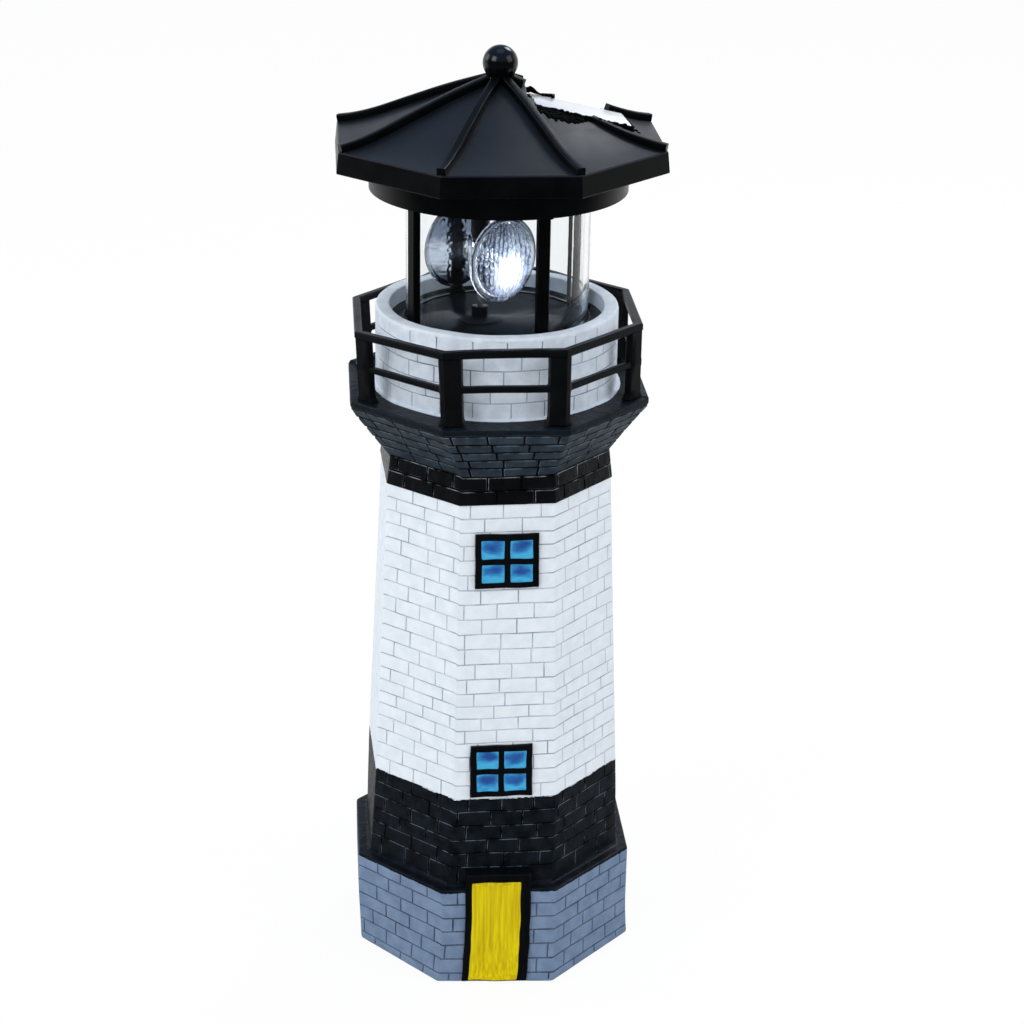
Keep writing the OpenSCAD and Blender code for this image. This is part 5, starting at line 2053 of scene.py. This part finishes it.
    def curl(self, turn: Matrix, side: float) -> Piece:
        """Builds the string of sealant that curls up behind the panel.

        Args:
            turn: The panel's own axes.
            side: The panel's far side on them.

        Returns:
            The string, as a tapered tube.
        """
        path = (
            (-0.9, 0.2, 0.8), (-0.5, 0.9, 1.2), (0.4, 1.5, 1.15), (1.5, 1.1, 0.95), (2.6, 0.7, 0.65), (3.8, 0.4, 0.45),
            (5.4, 0.3, 0.35), (7.2, 0.5, 0.4), (8.4, 0.8, 0.6), (9.2, 0.4, 0.6), (9.8, -0.4, 0.3),
        )
        rows = []
        for number, (x, z, thick) in enumerate(path):
            before, after = path[max(number - 1, 0)], path[min(number + 1, len(path) - 1)]
            along = Vector((after[0] - before[0], 0, after[1] - before[1])).normalized()
            across = Vector((-along.z, 0, along.x))
            middle = Vector((x, side + 0.2, z))
            ring = []
            for k in range(10):
                angle = 2 * math.pi * k / 10
                wide, deep = across * thick * math.cos(angle), Vector((0, thick * math.sin(angle), 0))
                ring.append(tuple(turn @ (middle + wide + deep)))
            rows.append(ring)
        ends = [[tuple(turn @ Vector((path[i][0], side + 0.2, path[i][1])))] for i in (0, -1)]
        return skinned("sealant_curl", [ends[0]] + rows + [ends[1]])


# ---------------------------------------------------------------- twin lens and lamp


@dataclass
class TwinLens:
    """Two clear bowls back to back, each closed by a faceted lens, turning on a thin spindle."""

    axis: Pair = (-6.7, -2.0)
    centre: float = 283.0
    facing: float = -52.0
    lens_r: float = 16.0
    cup_end: float = 12.3
    rim: float = 0.9
    dome: float = 1.2
    flute_w: float = 2.3
    pebble_l: float = 2.7

    def matrix(self, side: int) -> Matrix:
        """Stands a shape that points up so that it points along one lens's direction.

        Args:
            side: 1 for the lens that faces the front, -1 for the other.

        Returns:
            The turn and the shift.
        """
        at = Matrix.Translation((*self.axis, self.centre))
        angle = math.radians(self.facing + (0 if side > 0 else 180))
        return at @ Matrix.Rotation(angle, 4, "Z") @ Matrix.Rotation(math.radians(90), 4, "Y")

    def flute(self, x: float, y: float) -> float:
        """Height of the moulded flutes at a place of the face, from 0 in a groove to 1 on a ridge.

        Args:
            x: Place down the face.
            y: Place across it.

        Returns:
            The height; flutes run like meridians and break up into pebbles.
        """
        x += 1.3 * noise.noise(Vector((x / 3.2, y / 3.2, 4.0)))
        y += 0.9 * noise.noise(Vector((x / 4.5, y / 4.5, 9.0)))
        column = y / math.sqrt(max(0.05, 1 - (x / self.lens_r) ** 2)) / self.flute_w
        ridge = 0.5 + 0.5 * math.cos(2 * math.pi * column)
        return ridge * (0.65 + 0.35 * math.cos(2 * math.pi * (x / self.pebble_l + 0.5 * round(column))))

    def lens(self, name: str, side: int, finishes: "Finishes") -> Piece:
        """Builds one lens: a disc with a stepped rim and a domed face of small facets.

        Args:
            name: The piece's name.
            side: 1 for the lens that faces the front, -1 for the other.
            finishes: The object's finishes.

        Returns:
            The lens in its place.
        """
        turn = self.matrix(side)
        steps, edge = 144, self.cup_end + self.rim
        outline = [(0.0, self.cup_end), (self.lens_r * 0.5, self.cup_end), (self.lens_r, self.cup_end)]
        outline += [(self.lens_r, edge), (self.lens_r - 0.5, edge + 0.1), (self.lens_r - 0.9, edge - 0.15)]
        outline += [(self.lens_r - 1.5, edge + 0.25), (self.lens_r - 1.9, edge)]
        face_r, rings = self.lens_r - 2.3, 38
        marks = [0.0] * len(outline)
        for k in range(rings):
            radius = face_r * (1 - k / rings)
            outline.append((radius, edge + self.dome * math.sqrt(1 - (radius / self.lens_r) ** 2)))
            marks.append(1.0 if k else 0.0)
        outline.append((0.0, edge + self.dome))
        marks.append(1.0)
        rows, pressed, flutes = [], [], []
        for (radius, height), mark in zip(outline, marks):
            spots = circle(radius, height, steps) if radius else [(0.0, 0.0, height)]
            rows.append([tuple(turn @ Vector(spot)) for spot in spots])
            pressed += [mark] * len(spots)
            flutes += [self.flute(x, y) if mark else 1.0 for x, y, _ in spots]
        piece = skinned(name, rows)
        carry(piece, {"pressed": pressed, "flute": flutes})
        clean(piece)
        finish, facet, groove = (finishes.lit_lens, 0.3, 0.4) if side > 0 else (finishes.clear_lens, 0.1, 0.02)
        sizes = {"Facet size": 1.6, "Facet height": facet, "Flute depth": groove}
        facet_rule(finish).run(piece, {label: size * MM for label, size in sizes.items()})
        return clean(piece, math.radians(12))

    def build(self, finishes: "Finishes") -> None:
        """Builds and places the rotor's clear parts."""
        for letter, side in (("a", 1), ("b", -1)):
            face = self.lens(f"lens_{letter}_facets", side, finishes)
            place(face, "lens_rotor", "lens_facets", [f"lens_face_{letter}"])
            cup = refined(f"lens_cup_{letter}", f"lens_{letter}_bowl", 0.0)
            place(cup, "lens_rotor", "lens_styrene", [f"lens_cup_{letter}"], finishes.clear_cup)
        place(refined("lens_yoke", "lens_sleeve", 0.0), "lens_rotor", "lens_styrene", ["lens_yoke"], finishes.clear_cup)
        pin = refined("lens_spindle", "lens_pin", 0.15)
        place(pin, "lens_rotor", "nickel_plate", ["lens_spindle"], finishes.nickel)
        place(refined("led_lamp", "lamp_bulb", 0.0), "lantern", "lamp_epoxy", ["led_lamp"], finishes.lit_lamp)


# ---------------------------------------------------------------- finishes of the rest


class Finishes:
    """Every finish of the object, built once; the record's slots name those of the carried-over CAD nodes."""

    def __init__(self) -> None:
        """Builds the materials."""
        # polyester resin with filler, bare: a dusty grey-brown with fine pits
        self.bare_resin = Moulded("cast_polyester_resin_bare", "#6f665c", "#5f574e", 0.75, 0.2, 0.8, 0.05).build()
        # gloss enamel, brushed black: thick enough to look wet, with faint strokes
        self.black_enamel = BrushedEnamel("brushed_black_enamel", "#05070a", "#0b0e12", 0.8, 0.3).build()
        # yellow enamel: streaks of ochre where the brush dragged it thin
        self.yellow_enamel = BrushedEnamel("brushed_yellow_enamel", "#e3cf00", "#bda500", 0.45, 0.5).build()
        self.pane_paint = ShadedPane("varnished_blue_enamel").build()
        # moulded ABS rail: satin, with lumps of touch-up paint
        self.railing_plastic = Moulded("abs_railing_painted_black", "#05070a", "#0a0d11", 0.34, 0.13, 1.2, 0.04).build()
        # spark-eroded mould face on ABS: even fine grain that breaks up the shine
        self.roof_black = Moulded("abs_spark_textured_black", "#090c11", "#0c1016", 0.45, 0.3, 0.45, 0.05, 14.0).build()
        # polished ABS: near-mirror skin with slow flow waves
        self.gloss_black = Moulded("abs_polished_black", "#040507", "#06080b", 0.14, 0.3, 9.0, 0.03, 20.0, 0.03).build()
        self.satin_black = Moulded("abs_satin_black", "#0d0f12", "#101317", 0.35, 0.3, 0.8, 0.015).build()
        self.tray_black = Moulded("abs_tray_black", "#06080b", "#0b1015", 0.16, 0.05, 4.0, 0.02).build()
        # thin upright bars of a darker, duller black than the rest: painted shade, so that they stay dark at the tube's
        # edge
        self.post_black = Moulded("abs_post_black", "#030405", "#050608", 0.35, 0.06, 1.0, 0.02).build()
        # the mould's polished rim: the fascia is smooth where the top is grained; its darker colour is painted shade on
        # the upright fascia and the ribs, and the drum takes it for its duller shine
        self.shade_darkened_black = Moulded("abs_black_darkened_for_shade", "#030405", "#06070a", 0.35, 0.1, 0.6, 0.03).build()
        self.sealant = Moulded("black_silicone_sealant", "#010101", "#020202", 0.7, 0.03, 1.6, 0.12).build()
        self.solar = SolarLaminate("epoxy_laminated_silicon_cells", (11.6, -3.1, 340.8)).build()
        self.clear_tube = ClearMoulding("clear_polystyrene_tube", "#fafcfd", 1.22, 0.0).build()
        # painted refraction and reflection: the bowls' colour graded by height for the dark tray, the lit room and the
        # dark drum that they would show
        bowl = (
            (267.0, "#3c434d"), (273.5, "#525b67"), (278.0, "#d3dbe4"),
            (284.0, "#dde4ec"), (289.5, "#7f8a99"), (299.0, "#8893a3"),
        )
        self.clear_cup = ClearMoulding("clear_polystyrene_bowl", "#f3f7fb", 1.5, 0.02, painted_refraction_bands=bowl).build()
        glow = Glow(1.0, (3.4, -10.9, 277.6), 9.6)
        facets = ("#eef3fb", 1.5, 0.05)
        # the lit lens's grooves take a painted shade of dark navy
        self.lit_lens = ClearMoulding("clear_polystyrene_facets_lit", *facets, glow, groove="#1c2a4d").build()
        self.clear_lens = ClearMoulding("clear_polystyrene_facets", *facets).build()
        glow = Glow(1.5, (-6.7, -2.0, 281.0), 14.0)
        self.lit_lamp = ClearMoulding("epoxy_lamp_lit", "#ffffff", 1.5, 0.1, glow).build()
        # nickel plate over brass: bright and faintly warm
        self.nickel = Moulded("nickel_plated_brass", "#c9c6bf", "#bdbab3", 0.22, 0.5, 0.6, 0.004, metallic=1.0).build()
        zinc = Moulded("zinc_plated_steel", "#b9bcc0", "#a6aaaf", 0.34, 0.5, 1.2, 0.01, metallic=1.0).build()
        acetal = Moulded("natural_acetal", "#e4dfd2", "#dcd6c8", 0.4, 0.5, 0.6, 0.005).build()
        sheet = Moulded("abs_sheet_grained_black", "#17191b", "#1d2023", 0.55, 0.35, 0.7, 0.05).build()
        self.by_slot: dict[str, Material] = {
            "cast_resin": self.bare_resin,
            "base_plate_plastic": sheet,
            "railing_plastic": self.railing_plastic,
            "black_abs": self.satin_black,
            "gloss_black_abs": self.gloss_black,
            "roof_abs": self.roof_black,
            "clear_styrene": self.clear_tube,
            "lens_styrene": self.clear_cup,
            "lens_facets": self.lit_lens,
            "zinc_steel": zinc,
            "nickel_plate": self.nickel,
            "solar_laminate": self.solar,
            "black_sealant": self.sealant,
            "wire_red": Moulded("pvc_insulation_red", "#b3121a", "#9c0d15", 0.45, 0.4, 0.5, 0.005).build(),
            "wire_black": Moulded("pvc_insulation_black", "#141416", "#1b1b1e", 0.45, 0.4, 0.5, 0.005).build(),
            "cell_wrap": Moulded("pvc_shrink_wrap_green", "#1d7a3c", "#1a6e36", 0.25, 0.5, 5.0, 0.01).build(),
            "board_green": Moulded("solder_mask_green", "#1c5a34", "#174c2c", 0.3, 0.5, 2.5, 0.02).build(),
            "board_parts_black": Moulded("epoxy_component_black", "#1a1a1c", "#222225", 0.5, 0.4, 0.4, 0.01).build(),
            "lamp_epoxy": self.lit_lamp,
            "gear_acetal": acetal,
        }

    def dress_nodes(self) -> None:
        """Gives every CAD node the finish of its slot in the record."""
        for part in frame["record"]["subparts"]:
            node = frame["nodes"][part["node"]]
            node.data.materials.clear()
            node.data.materials.append(self.by_slot[part["material_slot"]])
            LOG.info("%s keeps its CAD shape or is replaced; finish %s", node.name, part["material_slot"])


# ---------------------------------------------------------------- studio


@dataclass
class Studio:
    """Plain pale floor, soft white light and the camera at the photograph's place."""

    eye: Point = (-65.89, -886.66, 537.82)
    forward: Point = (0.07594, 0.92367, -0.37558)
    right: Point = (0.99664, -0.08194, 0.0)
    roll: float = 0.97
    focal_mm: float = 86.50
    world_strength: float = 0.66
    dark_front: float = 0.05
    overhead: float = 0.8
    softbox: float = 2.5
    floor_share: float = 0.94
    aim: Point = (0.0, 0.0, 180.0)

    def camera(self) -> None:
        """Adds the camera."""
        data = bpy.data.cameras.new("camera")
        data.lens, data.sensor_width = self.focal_mm, 36.0
        data.clip_start, data.clip_end = 0.05, 20.0
        shot = linked("camera", data)
        forward, right = Vector(self.forward).normalized(), Vector(self.right).normalized()
        up = right.cross(forward).normalized()
        turn = math.radians(self.roll)
        across = right * math.cos(turn) + up * math.sin(turn)
        above = up * math.cos(turn) - right * math.sin(turn)
        axes_of_view = Matrix((across, above, -forward)).transposed().to_4x4()
        shot.matrix_world = Matrix.Translation(Vector(self.eye) * MM) @ axes_of_view
        bpy.context.scene.camera = shot

    def floor(self) -> None:
        """Adds the pale floor, which reads as white to the camera and keeps the object's shadow."""
        reach, level = 4000.0, -0.2
        plan = ((-reach, -reach), (reach, -reach), (reach, reach), (-reach, reach))
        piece = piece_of("studio_floor", [(x, y, level) for x, y in plan], [(0, 1, 2, 3)])
        piece.data.materials.append(PaperSweep("white_paper_sweep", self.dark_front, self.floor_share).build())

    def light(self) -> None:
        """Adds the world and the soft lamps."""
        world = bpy.data.worlds.new("studio")
        bpy.context.scene.world = world
        world.use_nodes = True
        tree = world.node_tree
        tree.nodes.clear()
        path = add(tree, "ShaderNodeLightPath").outputs
        way = axes(tree, add(tree, "ShaderNodeTexCoord").outputs["Generated"])
        # polished parts see a dark room in front, the white sweep behind and a grey ceiling
        level = remap(tree, way[1], (-0.1, 0.45), (self.dark_front, 1.0))
        above = remap(tree, way[2], (0.22, 0.5))
        level = level_of(tree, above, level, self.overhead)
        level = level_of(tree, remap(tree, way[2], (0.93, 0.97)), level, self.softbox)
        shiny = maths(tree, "MAXIMUM", path["Is Glossy Ray"], path["Is Transmission Ray"])
        shown = level_of(tree, shiny, self.world_strength, level)
        tint = blend(tree, maths(tree, "MULTIPLY", above, shiny), linear("#ffffff"), linear("#98b4dc"))
        sky = add(tree, "ShaderNodeBackground", {0: tint, 1: level_of(tree, path["Is Camera Ray"], shown, 1.0)})
        add(tree, "ShaderNodeOutputWorld", {0: sky.outputs[0]})
        for name, spot, size, power in (
            ("key", (-1150.0, -900.0, 1200.0), 800.0, 9.0),
            ("fill", (1100.0, -500.0, 900.0), 800.0, 3.8),
            ("rim", (690.0, 910.0, 1300.0), 500.0, 7.0),
            ("side", (-1250.0, 450.0, 800.0), 600.0, 2.5),
        ):
            data = bpy.data.lights.new(name, "AREA")
            data.shape, data.size, data.energy = "SQUARE", size * MM, power
            lamp = linked(name, data)
            aim = (Vector(self.aim) - Vector(spot)).to_track_quat("-Z", "Y").to_matrix().to_4x4()
            lamp.matrix_world = Matrix.Translation(Vector(spot) * MM) @ aim

    def build(self) -> None:
        """Adds camera, floor and light."""
        bpy.context.scene.view_settings.view_transform = "Standard"
        self.camera()
        self.floor()
        self.light()


def main() -> None:
    """Builds the whole object in order."""
    # noise_vector takes its offsets from the clock unless it is seeded
    noise.seed_set(NOISE_SEED)
    logging.basicConfig(level=logging.INFO, format="%(name)s: %(message)s")
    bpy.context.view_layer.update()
    finishes = Finishes()
    finishes.dress_nodes()
    TowerCasting().build(finishes)
    Railing().build(finishes)
    LanternBody().build(finishes)
    Roof().build(finishes)
    TwinLens().build(finishes)
    Studio().build()


if __name__ == "__main__":
    main()
